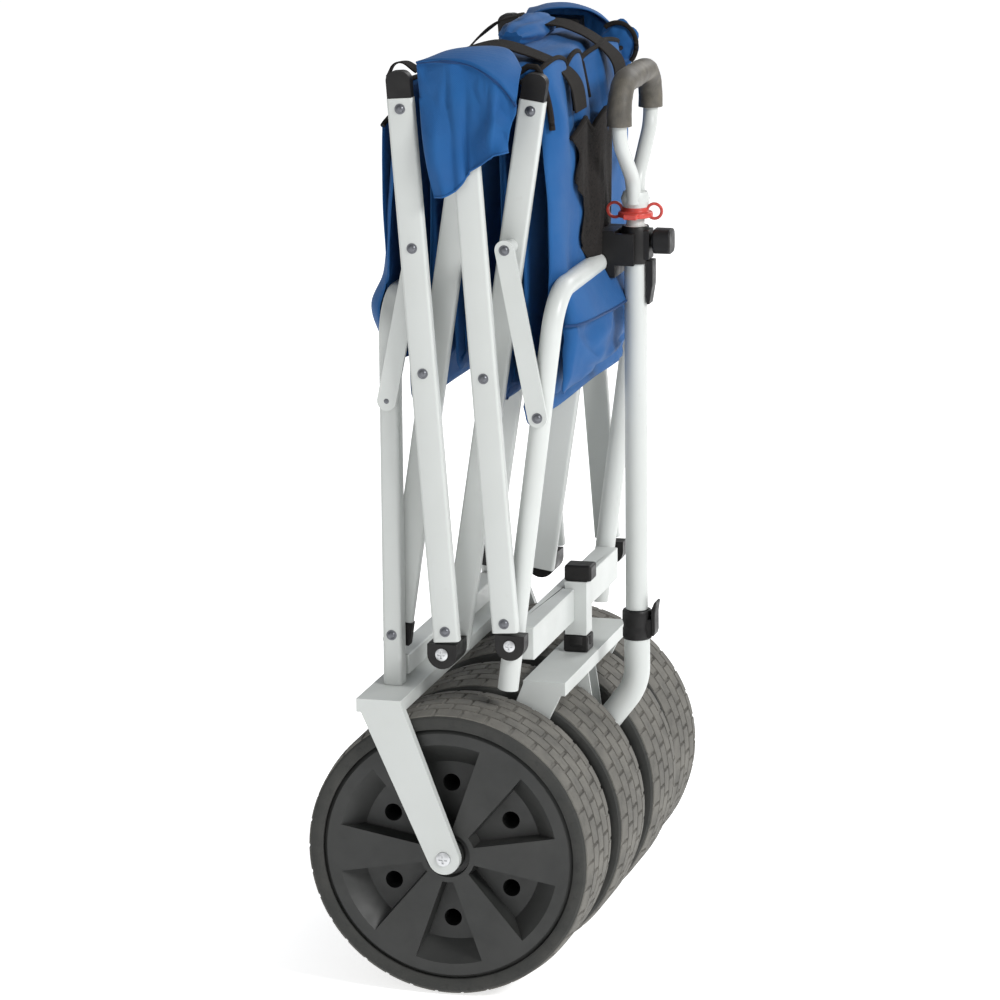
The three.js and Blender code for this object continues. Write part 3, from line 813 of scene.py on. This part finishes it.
def build_handle():
    pivot = PIVOTS["handle_swing"]
    tube_low, tube_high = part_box("handle_main_tube")
    collar_low, collar_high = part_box("clamp_collar")
    x = HANDLE_X
    handle_tube("bent_lower_tube", [pivot, (x, 0, 0.234), (x, 0, collar_low.z)], LOWER_TUBE_R, 0.048,
                PAINT, "pull_handle", ["handle_lower_tube"])
    handle_tube("main_tube", [(x, 0, tube_low.z), (x, 0, tube_high.z)], MAIN_TUBE_R, 0.01,
                PAINT, "pull_handle", ["handle_main_tube"])
    collar = [(0.0101, 0), (0.0122, 0), (0.0128, 0.002), (0.0128, 0.009), (0.0121, 0.011),
              (0.0121, 0.014), (0.0131, 0.017), (0.0131, 0.025), (0.0122, 0.0266), (0.0101, 0.0266)]
    mesh = moved(turned("collar", collar, "Z", 48), (x, 0, collar_low.z))
    height = (collar_low.z + 0.002, collar_high.z - 0.008)
    ears = [box_mesh((x + 0.008, x + 0.0146), (s * 0.0035, s * 0.007), height) for s in (-1, 1)]
    made = piece("clamp_ring", merged("clamp_ring", [mesh] + ears), BLACK, "pull_handle", "clamp_collar")
    soften(made, 0.0005)
    build_lever()
    build_height_clamp()
    build_grip()


def build_lever():
    """A cam lever that hugs its collar, with a lip to flip it by."""
    low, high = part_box("clamp_lever")
    back, front = low.x - 0.0008, high.x - 0.0018
    outline = [(back, low.z), (front - 0.001, low.z), (front, low.z + 0.004), (front, high.z - 0.010),
               (front + 0.0015, high.z), (front - 0.0005, high.z + 0.0005), (back, high.z - 0.007)]
    made = piece("cam_lever", plate("cam_lever", outline, low.y, high.y), BLACK, "clamp_lever", "clamp_lever")
    soften(made, 0.0010)


def build_height_clamp():
    low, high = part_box("height_clamp")
    x = HANDLE_X
    height = high.z - low.z
    ring = [(0.0103, 0), (0.0122, 0), (0.0128, 0.002), (0.0128, height - 0.004), (0.0115, height),
            (0.0103, height)]
    mesh = moved(turned("sleeve", ring, "Z", 48), (x, 0, low.z))
    boss = box_mesh((x + 0.006, x + 0.0140), (-0.009, 0.009), (low.z + 0.004, high.z - 0.003))
    rib = box_mesh((x - 0.0135, x - 0.011), (-0.003, 0.003), (low.z + 0.003, high.z - 0.004))
    outline = [(x + 0.0105, low.z + 0.003), (x + 0.0165, low.z + 0.003), (x + 0.0165, low.z - 0.018),
               (x + 0.0135, low.z - 0.036), (x + 0.0108, low.z - 0.036)]
    tongue = plate("tongue", outline, -0.006, 0.008)
    mesh = merged("height_sleeve", [mesh, boss, rib, tongue])
    made = piece("height_sleeve", mesh, BLACK, "pull_handle", "height_clamp")
    soften(made, 0.0006)
    knob_low, knob_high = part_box("height_knob")
    z = (knob_low.z + knob_high.z) / 2
    start = x + 0.0170
    lobes = []
    for i in range(48):
        turn = 2 * math.pi * i / 48
        radius = 0.0118 + 0.0009 * math.cos(4 * turn + math.pi)
        lobes.append((radius * math.cos(turn), radius * math.sin(turn)))
    body = swept("knob", [Vector((start, 0, z)), Vector((knob_high.x, 0, z))], lobes, (0, 1, 0))
    neck = turned("neck", [(0, 0), (0.007, 0), (0.007, 0.004), (0, 0.004)], "X", 32)
    moved(neck, (x + 0.0143, 0, z))
    soften(piece("knob", merged("knob", [body, neck]), BLACK, "height_knob", "height_knob"), 0.0016, 3)


def build_grip():
    x = HANDLE_X
    half, top, bend = 0.057, 0.780, 0.026
    neck, arm_top = 0.0075, 0.730
    yoke_low = 0.668
    arm = [(neck, yoke_low), (neck, yoke_low + 0.020), (half, arm_top), (half, top)]
    corners = [(x, -y, z) for y, z in arm] + [(x, y, z) for y, z in reversed(arm)]
    loop = swept("yoke", bent_line(corners, bend), circle(YOKE_R, 24), (1, 0, 0))
    rod = [(0, 0.4), (0.008, 0.4), (0.008, 0.672), (0.0065, 0.676), (0, 0.676)]
    stem = moved(turned("stem", rod, "Z", 32), (x, 0, 0))
    cup = [(0, 0.658), (0.0085, 0.658), (0.0115, 0.667), (0.0128, 0.672), (0.0105, 0.678), (0, 0.680)]
    foot = moved(turned("foot", cup, "Z"), (x, 0, 0))
    piece("handle_fork", merged("handle_fork", [loop, stem, foot]), PAINT, "handle_top", "handle_yoke")
    grip_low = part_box("grip")[0].z - 0.008
    corners = [(x, -half, grip_low), (x, -half, top), (x, half, top), (x, half, grip_low)]
    path = subdivided(bent_line(corners, bend), 0.003)
    mesh = swept("foam", path, circle(FOAM_R, 28), (1, 0, 0))
    for vertex in mesh.vertices:
        centre = min(path, key=lambda p: (p - vertex.co).length)
        out = (vertex.co - centre).normalized()
        ripple = noise.noise(vertex.co * 260) * 0.0005 + noise.noise(vertex.co * 90) * 0.0007
        vertex.co += out * ripple
    grip = piece("foam_grip", mesh, FOAM, "handle_top", "grip", angle=70)
    ring = [(0.0083, 0), (0.0150, 0), (0.0155, 0.0015), (0.0150, 0.0045), (0.0115, 0.0055),
            (0.0110, 0.0090), (0.0083, 0.0095)]
    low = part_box("release_collar")[0]
    mesh = moved(turned("release", ring, "Z", 48), (x, 0, low.z))
    tabs = [box_mesh((x - 0.006, x + 0.006), (s * 0.013, s * 0.022), (0.656, 0.6605)) for s in (-1, 1)]
    for reach in (-0.0185, 0.0170):
        loop = [(0.0052, -0.0014), (0.0078, -0.0014), (0.0078, 0.0014), (0.0052, 0.0014)]
        tabs.append(moved(turned("loop", loop, "Y", 24), (x + reach, 0, 0.6610)))
    mesh = merged("release_ring", [mesh] + tabs)
    soften(piece("release_ring", mesh, RED, "release_collar", "release_collar"), 0.0008)


# ---------------------------------------------------------------- cloth

# The length of each sheet's cut, which sheet_piece takes but does not use.
FLAP_LENGTH = 0.165
OPEN_LENGTH = 0.87           # the tub's, between the legs of the opened wagon
WALL_LENGTH = 0.30
POCKET_LENGTH = 0.14
LID_LENGTH = 0.25
NET_LENGTH = 0.15
CLOTH_THICKNESS = 0.0007
BINDING_R = 0.0022
CREST_BINDING_R = 0.0028     # the bound edges over the front wall's top
PIPING_R = 0.0013
FLAP_HEM_R = 0.0010
LID_HEM_R = 0.0012
HANGING = {
    "quality": 6,
    "mass": 0.15,
    "tension_stiffness": 20,
    "compression_stiffness": 20,
    "shear_stiffness": 8,
    "bending_stiffness": 0.4,
    "air_damping": 3,
    "vertex_group_mass": "pins",
}


def between(keys, share):
    """A smooth curve through evenly spaced keys, which are numbers or vectors."""
    spans = len(keys) - 1
    index = min(int(share * spans), spans - 1)
    t = share * spans - index
    before = keys[max(index - 1, 0)]
    start, end = keys[index], keys[index + 1]
    after = keys[min(index + 2, spans)]
    return 0.5 * (2 * start + (end - before) * t + (2 * before - 5 * start + 4 * end - after) * t * t
                  + (3 * start - before - 3 * end + after) * t * t * t)


def cloth_grid(name, columns, rows, at):
    """A sheet whose points are at(u, v), with u across and v down, both from 0 to 1."""
    verts = [at(i / columns, j / rows) for j in range(rows + 1) for i in range(columns + 1)]
    faces = []
    for j in range(rows):
        for i in range(columns):
            a = j * (columns + 1) + i
            faces.append((a, a + 1, a + columns + 2, a + columns + 1))
    mesh = to_mesh(name, verts, faces)
    for polygon in mesh.polygons:
        polygon.use_smooth = True
    return mesh


def cloth_row(mesh, columns, row):
    """The places of the points in one row of a grid of cloth."""
    first = row * (columns + 1)
    return [mesh.vertices[first + i].co.copy() for i in range(columns + 1)]


def settle(mesh, columns, held, reach, frames=16):
    """Lets a grid of cloth hang for a moment. held(u, v) is how firmly a point is held;
    no point moves further than reach from where it was laid. The cloth hits nothing."""
    made = add_object("hanging", mesh)
    pins = made.vertex_groups.new(name="pins")
    rows = len(mesh.vertices) // (columns + 1) - 1
    for index in range(len(mesh.vertices)):
        u = (index % (columns + 1)) / columns
        v = (index // (columns + 1)) / rows
        weight = held(u, v)
        if weight > 0:
            pins.add([index], weight, "REPLACE")
    start = [vertex.co.copy() for vertex in mesh.vertices]
    cloth = made.modifiers.new("cloth", "CLOTH")
    for setting, value in HANGING.items():
        setattr(cloth.settings, setting, value)
    cloth.collision_settings.use_collision = False
    cloth.point_cache.frame_start = 1
    cloth.point_cache.frame_end = frames
    scene = bpy.context.scene
    for number in range(1, frames + 1):
        scene.frame_set(number)
    bake(made)
    scene.frame_set(1)
    result = made.data
    bpy.data.objects.remove(made)
    for vertex, before in zip(result.vertices, start):
        move = vertex.co - before
        if move.length > reach:
            vertex.co = before + move.normalized() * reach
    for polygon in result.polygons:
        polygon.use_smooth = True
    return result


def sheet_piece(name, mesh, finish, length, held, rests_on, body, *nodes):
    """A sheet of cloth, thickened a little, that moves with a body when one is given and stands for CAD
    nodes; length is not used.
    """
    mesh.materials.clear()
    made = piece(name, mesh, finish, None)
    if body:
        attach(made, body)
    if nodes:
        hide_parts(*nodes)
    solid = made.modifiers.new("thickness", "SOLIDIFY")
    solid.thickness = CLOTH_THICKNESS
    solid.offset = 0
    return made


def cord_mesh(name, points, radius):
    """A thin round line of piping or binding that may turn any way."""
    sides = 8
    points = [Vector(p) for p in points]
    verts = []
    up = Vector((0, 0, 1))
    for i, point in enumerate(points):
        tangent = (points[min(i + 1, len(points) - 1)] - points[max(i - 1, 0)]).normalized()
        across = tangent.cross(up)
        if across.length < 0.1:
            across = tangent.cross(Vector((0, 1, 0)))
        across.normalize()
        lift = across.cross(tangent)
        for x, y in circle(radius, sides):
            verts.append(point + across * x + lift * y)
    return closed_mesh(name, verts, tube_faces(len(points), sides))


def bound_edge(name, edge, body):
    """The black tape that is sewn over an edge of the cloth."""
    return piece(name, cord_mesh("binding", edge, BINDING_R), WEBBING, body)


def strap_mesh(name, keys, width, flat):
    """A flat strap that runs smoothly through key points, its width along flat."""
    thickness, steps = 0.0016, 40
    keys = [Vector(key) for key in keys]
    flat = Vector(flat).normalized()
    verts = []
    for i in range(steps + 1):
        share = i / steps
        point = between(keys, share)
        ahead = between(keys, min(share + 0.01, 1.0)) - between(keys, max(share - 0.01, 0.0))
        out = ahead.normalized().cross(flat).normalized()
        curl = 0.0006 * math.sin(share * 9)
        for x, y in ((-1, -1), (1, -1), (1, 1), (-1, 1)):
            verts.append(point + flat * (x * width / 2) + out * (y * thickness / 2 + curl * x))
    return closed_mesh(name, verts, tube_faces(steps + 1, 4))


# ---------------------------------------------------------------- flaps over the top hubs

FLAP_BACK = [(-0.034, 0.152, 0.801), (-0.020, 0.142, 0.816), (0.006, 0.138, 0.8215),
             (0.031, 0.139, 0.8195), (0.0465, 0.156, 0.806)]
FLAP_SEAM = [(-0.037, 0.190, 0.814), (-0.013, 0.193, 0.8165), (0.0115, 0.194, 0.8134),
             (0.0345, 0.194, 0.7995), (0.0505, 0.190, 0.779)]
FLAP_HEM = [(-0.0215, 0.192, 0.7005), (-0.007, 0.195, 0.704), (0.012, 0.194, 0.722),
            (0.031, 0.195, 0.737), (0.0475, 0.192, 0.742)]
FLAP_TOP_SHARE = 0.28        # how much of the flap lies on top, before its seam
FLAP_FREE_BELOW = 0.784      # where the flap hangs outside the bars
FLAP_CLEAR = 0.0022          # and how far it stays from their faces
FLAP_VALLEY = 0.47           # the fold down the flap: its place across it, half its width,
FLAP_VALLEY_REACH = 0.30     # and how far the cloth beside it stands out
FLAP_STANDS_OUT = 0.0145


def flap_point(sign, drop, u, v):
    keys = [[Vector((x, sign * y, z - drop)) for x, y, z in row] for row in (FLAP_BACK, FLAP_SEAM, FLAP_HEM)]
    back, seam, hem = (between(row, u) for row in keys)
    if v < FLAP_TOP_SHARE:
        share = v / FLAP_TOP_SHARE
        point = back.lerp(seam, share)
        point.z += 0.0045 * math.sin(share * math.pi)
        return point
    share = (v - FLAP_TOP_SHARE) / (1 - FLAP_TOP_SHARE)
    point = seam.lerp(hem, share)
    point.x += -0.004 * math.sin(share * math.pi) * (1 - u)
    away = abs(u - FLAP_VALLEY) / FLAP_VALLEY_REACH
    fold = min(1.0, away) ** 0.7 - 0.35 * max(0.0, away - 1.0)
    ripple = noise.noise(Vector((u * 5, share * 3, sign * 4.0))) * 0.004
    point.y += sign * (FLAP_STANDS_OUT * fold * min(1, share * 1.8) + ripple - 0.005)
    return point


def build_flaps():
    columns, rows = 44, 52
    for side, sign in SIDES.items():
        drop = 0.004 if sign > 0 else 0.0

        def at(u, v):
            return flap_point(sign, drop, u, v)

        mesh = cloth_grid(f"flap_{side}", columns, rows, at)
        mesh = settle(mesh, columns, lambda u, v: 1.0 if v < FLAP_TOP_SHARE + 0.02 else 0.0, reach=0.006)
        for vertex in mesh.vertices:
            hangs = vertex.co.z < FLAP_FREE_BELOW
            if hangs and abs(vertex.co.y) < OUTER_FACE + FLAP_CLEAR:
                vertex.co.y = sign * (OUTER_FACE + FLAP_CLEAR)
        seam = cloth_row(mesh, columns, round(FLAP_TOP_SHARE * rows))
        hem = cloth_row(mesh, columns, rows)
        sheet_piece(f"top_flap_{side}", mesh, BLUE, FLAP_LENGTH, "draped", [f"top_hub_{side}"],
                    "top_hubs", f"side_flap_{side}")
        piping = [p + Vector((0, sign * 0.0008, 0.0004)) for p in seam]
        piece(f"flap_piping_{side}", cord_mesh("piping", piping, PIPING_R), NAVY, "top_hubs")
        fold = [p + Vector((0, sign * 0.0004, 0.0006)) for p in hem]
        piece(f"flap_hem_{side}", cord_mesh("hem", fold, FLAP_HEM_R), BLUE, "top_hubs")


# ---------------------------------------------------------------- the folded tub

PLEATS = 7
PLEAT_DEPTH = 0.052
TUB_X = (-0.083, 0.062)
TUB_Y = 0.1365
TUB_TOP = 0.790
TUB_CORNER = 0.020
TUB_BOTTOM = [0.550, 0.505, 0.517, 0.531, 0.527, 0.508, 0.488, 0.499]
RIGHT_SAG = 0.040            # how much lower the right side's top hangs at its rear end
LEFT_SAG = 0.030             # and the left side's


def tub_outline(share, bottom, sag):
    """A point and its inward direction on the tub's cross-section: down, across and up.
    sag is how far the right and the left top edges hang below the frame's corners."""
    wall = TUB_TOP - bottom - TUB_CORNER
    floor = 2 * (TUB_Y - TUB_CORNER)
    arc = TUB_CORNER * math.pi / 2
    total = 2 * wall + 2 * arc + floor
    run = share * total
    mirrored = run > total / 2
    if mirrored:
        run = total - run
    if run < wall:
        y, z, turn = -TUB_Y, TUB_TOP - run, 0.0
    elif run < wall + arc:
        turn = (run - wall) / TUB_CORNER
        y = -TUB_Y + TUB_CORNER * (1 - math.cos(turn))
        z = bottom + TUB_CORNER * (1 - math.sin(turn))
    else:
        turn = math.pi / 2
        y = -TUB_Y + TUB_CORNER + run - wall - arc
        z = bottom
    inward_y, inward_z = math.cos(turn), math.sin(turn)
    if mirrored:
        y, inward_y = -y, -inward_y
    z -= sag[1 if mirrored else 0] * max(0.0, z - bottom) / (TUB_TOP - bottom)
    return y, z, inward_y, inward_z


def tub_point(u, v):
    bottom = between(TUB_BOTTOM, u)
    sag = (RIGHT_SAG * max(0.0, 1 - 7 * u), LEFT_SAG * (1 - 0.8 * u))
    y, z, inward_y, inward_z = tub_outline(v, bottom, sag)
    ridge = round(u * PLEATS)
    swing = 0.5 - 0.5 * math.cos(2 * math.pi * PLEATS * u)
    swing = swing ** 0.8
    uneven = 1 + 0.35 * noise.noise(Vector((ridge * 1.7, v * 2.5, 0.3)))
    inset = PLEAT_DEPTH * swing * uneven
    inset += 0.004 + 0.006 * noise.noise(Vector((ridge * 3.1, v * 3, 7.0)))
    sway = 0.0035 * noise.noise(Vector((u * 9, v * 7, 2.0)))
    x = TUB_X[0] + (TUB_X[1] - TUB_X[0]) * u + sway
    wrinkle = 0.0016 * noise.noise(Vector((u * 30, y * 40, z * 25)))
    return Vector((x, y + inward_y * inset + wrinkle, z + inward_z * inset))


def build_tub():
    columns, rows = PLEATS * 14, 120
    mesh = cloth_grid("tub", columns, rows, tub_point)
    mesh = settle(mesh, columns, lambda u, v: 1.0 if min(v, 1 - v) < 0.02 else 0.25,
                  reach=0.006, frames=12)
    edges = [cloth_row(mesh, columns, row) for row in (0, rows)]
    made = sheet_piece("tub_sides_and_floor", mesh, BLUE, OPEN_LENGTH, "folded",
                       ["rear_corner_cap_right", "front_corner_cap_right"], None,
                       "canvas_floor_and_sides")
    stretch_over_tub(made)
    for side, edge in zip(SIDES, edges):
        stretch_over_tub(bound_edge(f"tub_binding_{side}", edge, None))


def stretch_over_tub(made):
    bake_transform(made)


REAR_WALL_X = [-0.076, -0.080, -0.083, -0.084, -0.085, -0.0865, -0.103, -0.094, -0.078]
FRONT_WALL_X = [0.060, 0.0660, 0.069, 0.071, 0.072, 0.072, 0.073, 0.068, 0.058]
WALL_Y = 0.139
LOBES = [0.0, 0.27, 0.47, 1.0]     # where straps pinch the front wall's top, as shares of its width


def lobe(u):
    """0 at each pinch of the front wall's top and 1 between them."""
    for start, end in zip(LOBES, LOBES[1:]):
        if u <= end:
            return math.sin(math.pi * (u - start) / (end - start)) ** 0.6
    return 0.0


def rear_wall_point(u, v):
    x = between(REAR_WALL_X, v)
    fold = 0.0030 * math.sin(u * 23 + 1.5 * math.sin(v * 5)) * (0.4 + 0.6 * v)
    ripple = 0.003 * noise.noise(Vector((u * 7, v * 6, -4.0)))
    curl = 0.010 * (2 * u - 1) ** 8
    z = 0.754 - 0.212 * v - 0.016 * math.sin(math.pi * u) * (1 - v)
    return Vector((x - fold - ripple + curl, -WALL_Y + 2 * WALL_Y * u, z))


def front_wall_point(u, v):
    x = between(FRONT_WALL_X, v)
    puff = lobe(min(max(u, 0.0), 1.0)) * max(0.0, 1 - v * 1.9)
    fold = 0.0030 * math.sin(u * 23 + 1.5 * math.sin(v * 5)) * (0.3 + 0.7 * v)
    ripple = 0.003 * noise.noise(Vector((u * 7, v * 6, 4.0)))
    curl = 0.008 * (2 * u - 1) ** 8
    top = 0.797 - 0.014 * u
    z = top + (0.518 - top) * v + 0.013 * puff * (1 - v) ** 2
    return Vector((x + 0.013 * puff * min(1.0, 0.25 + 5 * v) + fold + ripple - curl,
                   -WALL_Y + 2 * WALL_Y * u, z))


def build_end_walls():
    columns, rows = 60, 56
    walls = (
        ("rear", rear_wall_point, "canvas_rear", "canvas_rear_wall"),
        ("front", front_wall_point, "canvas_front", "canvas_front_wall"),
    )
    for end, shape, body, node in walls:
        mesh = cloth_grid(f"{end}_wall", columns, rows, shape)
        mesh = settle(mesh, columns, lambda u, v: 1.0 if v < 0.03 else 0.2, reach=0.004, frames=10)
        edge = cloth_row(mesh, columns, 0)
        sheet_piece(f"tub_{end}_wall", mesh, BLUE, WALL_LENGTH, "hung",
                    [f"{end}_corner_cap_right", f"{end}_corner_cap_left"], body, node)
        bound_edge(f"{end}_wall_binding", edge, body)


def build_front_bindings():
    """Black bound edges that run over the front wall's top and a little way down."""
    for number, (u, reach) in enumerate(((0.012, 0.17), (0.27, 0.13), (0.47, 0.11), (0.985, 0.09))):
        points = []
        for i in range(13):
            point = front_wall_point(u, reach * i / 12)
            point.x += 0.0025
            points.append(point)
        over = [(-0.020, 0, -0.002), (-0.010, 0, 0.0045), (-0.003, 0, 0.004)]
        crest = [points[0] + Vector(step) for step in over]
        mesh = cord_mesh("binding", crest + points, CREST_BINDING_R)
        piece(f"front_binding_{number}", mesh, WEBBING, "canvas_front")


# ---------------------------------------------------------------- front pocket and net


def build_front_pocket():
    """The storage pocket across the front, with a flap over its mouth."""

    def pouch(u, v):
        y = -0.128 + 0.240 * u
        z = 0.604 - 0.082 * v + 0.012 * u * v
        bulge = math.sin(math.pi * min(max(v, 0), 1)) ** 0.6 * math.sin(math.pi * u) ** 0.35
        crease = 0.0035 * math.sin(u * 17 + v * 4) * bulge
        x = 0.0735 + 0.021 * bulge + crease + 0.002 * noise.noise(Vector((u * 9, v * 6, 1)))
        return Vector((x, y, z))

    columns = 56
    mesh = cloth_grid("pouch", columns, 26, pouch)
    mesh = settle(mesh, columns, lambda u, v: 1.0 if min(u, 1 - u, v, 1 - v) < 0.05 else 0.1, 0.004, 10)
    sheet_piece("front_pocket", mesh, BLUE, POCKET_LENGTH, "gathered", ["canvas_front_wall"], "canvas_front")

    def lid(u, v):
        y = -0.131 + 0.246 * u
        z = 0.618 - 0.036 * v + 0.001 * math.sin(u * 13) * v - 0.006 * u * (1 - v)
        bulge = 0.0225 * math.sin(math.pi * u) ** 0.35 * (0.25 + 0.75 * v)
        x = 0.0760 + bulge + 0.0015 * math.sin(u * 15) * v
        return Vector((x, y, z))

    rows = 12
    mesh = cloth_grid("lid", columns, rows, lid)
    hem = cloth_row(mesh, columns, rows)
    sheet_piece("front_pocket_lid", mesh, BLUE, LID_LENGTH, "hung", ["front_pocket"], "canvas_front")
    # The lid's hem is drawn in navy, darker than the lid. This is a painted shadow along the lid's lower
    # edge, drawn on a real hem.
    piece("pocket_lid_hem_and_painted_shadow", cord_mesh("hem", hem, LID_HEM_R), NAVY, "canvas_front")


def build_net():
    """The black net pocket that hangs on the upper front wall."""

    def at(u, v):
        left = -0.098 + 0.050 * v + 0.010 * math.sin(v * 14)
        y = left + (0.040 - left) * u
        spikes = 0.014 * abs(math.sin(u * 7.5)) * (1 - v)
        z = 0.738 - 0.118 * v + spikes
        x = 0.0745 + 0.006 * math.sin(math.pi * u) + 0.003 * math.sin(u * 13 + v * 5)
        return Vector((x, y, z))

    columns = 40
    mesh = cloth_grid("net", columns, 34, at)
    mesh = settle(mesh, columns, lambda u, v: 1.0 if v < 0.05 else 0.1, 0.004, 10)
    top = cloth_row(mesh, columns, 0)
    sheet_piece("net_pocket", mesh, NET, NET_LENGTH, "hung", ["canvas_front_wall"], "canvas_front")
    bound_edge("net_binding", top, "canvas_front")


# ---------------------------------------------------------------- straps and the canopy on top


def build_straps():
    """Webbing, each strap as the points that it passes and its width."""
    across = (0, 1, 0)
    straps = {
        "carry_strap": ([(-0.030, -0.085, 0.808), (0.004, -0.085, 0.8165), (0.037, -0.083, 0.8085),
                         (0.062, -0.080, 0.797), (0.074, -0.078, 0.782), (0.078, -0.078, 0.760)], 0.034),
        "far_strap": ([(-0.020, 0.045, 0.812), (0.022, 0.045, 0.818), (0.047, 0.046, 0.811),
                       (0.066, 0.048, 0.799), (0.079, 0.050, 0.784), (0.082, 0.050, 0.762)], 0.034),
        "pull_strap": ([(-0.042, -0.020, 0.797), (-0.030, -0.010, 0.811), (-0.014, 0.000, 0.824),
                        (0.004, 0.010, 0.829)], 0.012),
        "near_loop": ([(-0.072, -0.150, 0.796), (-0.066, -0.152, 0.806), (-0.056, -0.152, 0.808),
                       (-0.046, -0.148, 0.800)], 0.014),
    }
    for name, (keys, width) in straps.items():
        mesh = strap_mesh(name, keys, width, across)
        body = "rear_outer_bars" if name == "near_loop" else "canvas_rear"
        soften(piece(name, mesh, WEBBING, body), 0.0004)


def bundle_mesh(start, end, centre, wide, tall, seed):
    """A loose roll of cloth that lies along Y, pinched where straps hold it."""

    def roll(u, v):
        turn = 2 * math.pi * v
        lump = 1 + 0.20 * noise.noise(Vector((u * 5 + seed, math.cos(turn), math.sin(turn))))
        ends = max(0.04, math.sin(math.pi * min(max(u, 0.0), 1.0))) ** 0.22
        pleat = 0.0010 * math.sin(turn * 7 + u * 6)
        x = centre[0] + (wide * lump * ends + pleat) * math.cos(turn)
        z = centre[1] + (tall * lump * ends + pleat) * math.sin(turn)
        return Vector((x, start + (end - start) * u, z))

    mesh = cloth_grid("roll", 50, 40, roll)
    work = bmesh.new()
    work.from_mesh(mesh)
    bmesh.ops.remove_doubles(work, verts=work.verts, dist=0.0002)
    bmesh.ops.holes_fill(work, edges=work.edges)
    work.to_mesh(mesh)
    work.free()
    return mesh


def build_corner_sleeve():
    """The canvas corner pulled over the left front bar end, with its bound edge."""
    x, z = FRONT_TOP.x + 0.004, FRONT_TOP.z + 0.006
    wide, tall = 0.0175, 0.0200
    sleeve = piece("corner_sleeve", bundle_mesh(0.132, 0.1510, (x, z), wide, tall, 2.0),
                   BLUE, "front_inner_bars", angle=70)
    edge = []
    for i in range(17):
        turn = math.radians(130 - 175 * i / 16)
        edge.append((x + wide * math.cos(turn), 0.1335, z + tall * math.sin(turn)))
    bound_edge("corner_sleeve_binding", edge, "front_inner_bars")


def build_canopy():
    """The canopy, rolled in two and laid along the top of the folded tub."""
    low = piece("canopy_roll", bundle_mesh(-0.115, 0.125, (0.022, 0.7950), 0.034, 0.0120, 0.0),
                BLUE, "canvas_rear", "canopy_bundle", angle=70)
    high = piece("canopy_tuck", bundle_mesh(-0.030, 0.085, (0.004, 0.8130), 0.018, 0.0115, 5.0),
                 BLUE, "canvas_rear", angle=70)


# ---------------------------------------------------------------- camera and light

VIEW_ANGLES = (15.23, 13.07, -0.56)      # degrees round, up, and of roll
VIEW_DISTANCE = 4.651
VIEW_CENTRE = (-0.0184, 0, 0.3952)
LENS = 188.17                            # millimetres, on a sensor 36 wide
# Each light's place, the point it looks at, its size and its power.
LIGHTS = {
    "key": ((3.0, -1.5, 2.5), (0, 0, 0.4), 0.9, 112),
    "fill": ((-1.2, -3.2, 1.5), (0, 0, 0.4), 2.2, 12),
    "rim": ((1.2, 2.6, 2.4), (0, 0, 0.5), 1.8, 45),
}


def build_camera():
    azimuth, elevation, roll = (math.radians(a) for a in VIEW_ANGLES)
    forward = Vector((-math.sin(azimuth) * math.cos(elevation), math.cos(azimuth) * math.cos(elevation),
                      -math.sin(elevation)))
    level = forward.cross(Vector((0, 0, 1))).normalized()
    upright = level.cross(forward)
    right = level * math.cos(roll) + upright * math.sin(roll)
    up = upright * math.cos(roll) - level * math.sin(roll)
    camera = add_object("camera", bpy.data.cameras.new("camera"))
    camera.data.lens = LENS
    camera.data.sensor_width = 36
    camera.data.clip_end = 60
    placed = Matrix((right, up, -forward)).transposed().to_4x4()
    placed.translation = Vector(VIEW_CENTRE) - forward * VIEW_DISTANCE
    camera.matrix_world = placed
    bpy.context.scene.camera = camera


def area_light(name, place, target, size, power):
    light = add_object(name, bpy.data.lights.new(name, "AREA"))
    light.data.size = size
    light.data.energy = power
    light.location = place
    light.rotation_euler = (Vector(target) - Vector(place)).to_track_quat("-Z", "Y").to_euler()


def build_studio():
    bpy.context.scene.view_settings.view_transform = "Standard"
    world = bpy.data.worlds.new("studio")
    bpy.context.scene.world = world
    world.use_nodes = True
    background = world.node_tree.nodes["Background"]
    background.inputs["Color"].default_value = (0.97, 0.985, 1.0, 1)
    background.inputs["Strength"].default_value = 0.40
    for name, values in LIGHTS.items():
        area_light(name, *values)
    reach = 14
    corners = [(-reach, -reach, 0), (reach, -reach, 0), (reach, reach, 0), (-reach, reach, 0)]
    floor = add_object("floor", to_mesh("floor", corners, [(0, 1, 2, 3)]))
    finish = bpy.data.materials.new("studio_floor")
    finish.use_nodes = True
    shader = finish.node_tree.nodes["Principled BSDF"]
    shader.inputs["Base Color"].default_value = (0.92, 0.92, 0.92, 1)
    shader.inputs["Roughness"].default_value = 0.9
    shader.inputs["Emission Color"].default_value = (1, 1, 1, 1)
    shader.inputs["Emission Strength"].default_value = 0.66
    floor.data.materials.append(finish)


dress_cad_pieces()
build_wheels()
build_frames()
build_rivets()
build_bracket_screws()
build_bar_ends()
build_post()
build_handle()
build_flaps()
build_tub()
build_end_walls()
build_front_bindings()
build_front_pocket()
build_net()
build_canopy()
build_corner_sleeve()
build_straps()
build_camera()
build_studio()
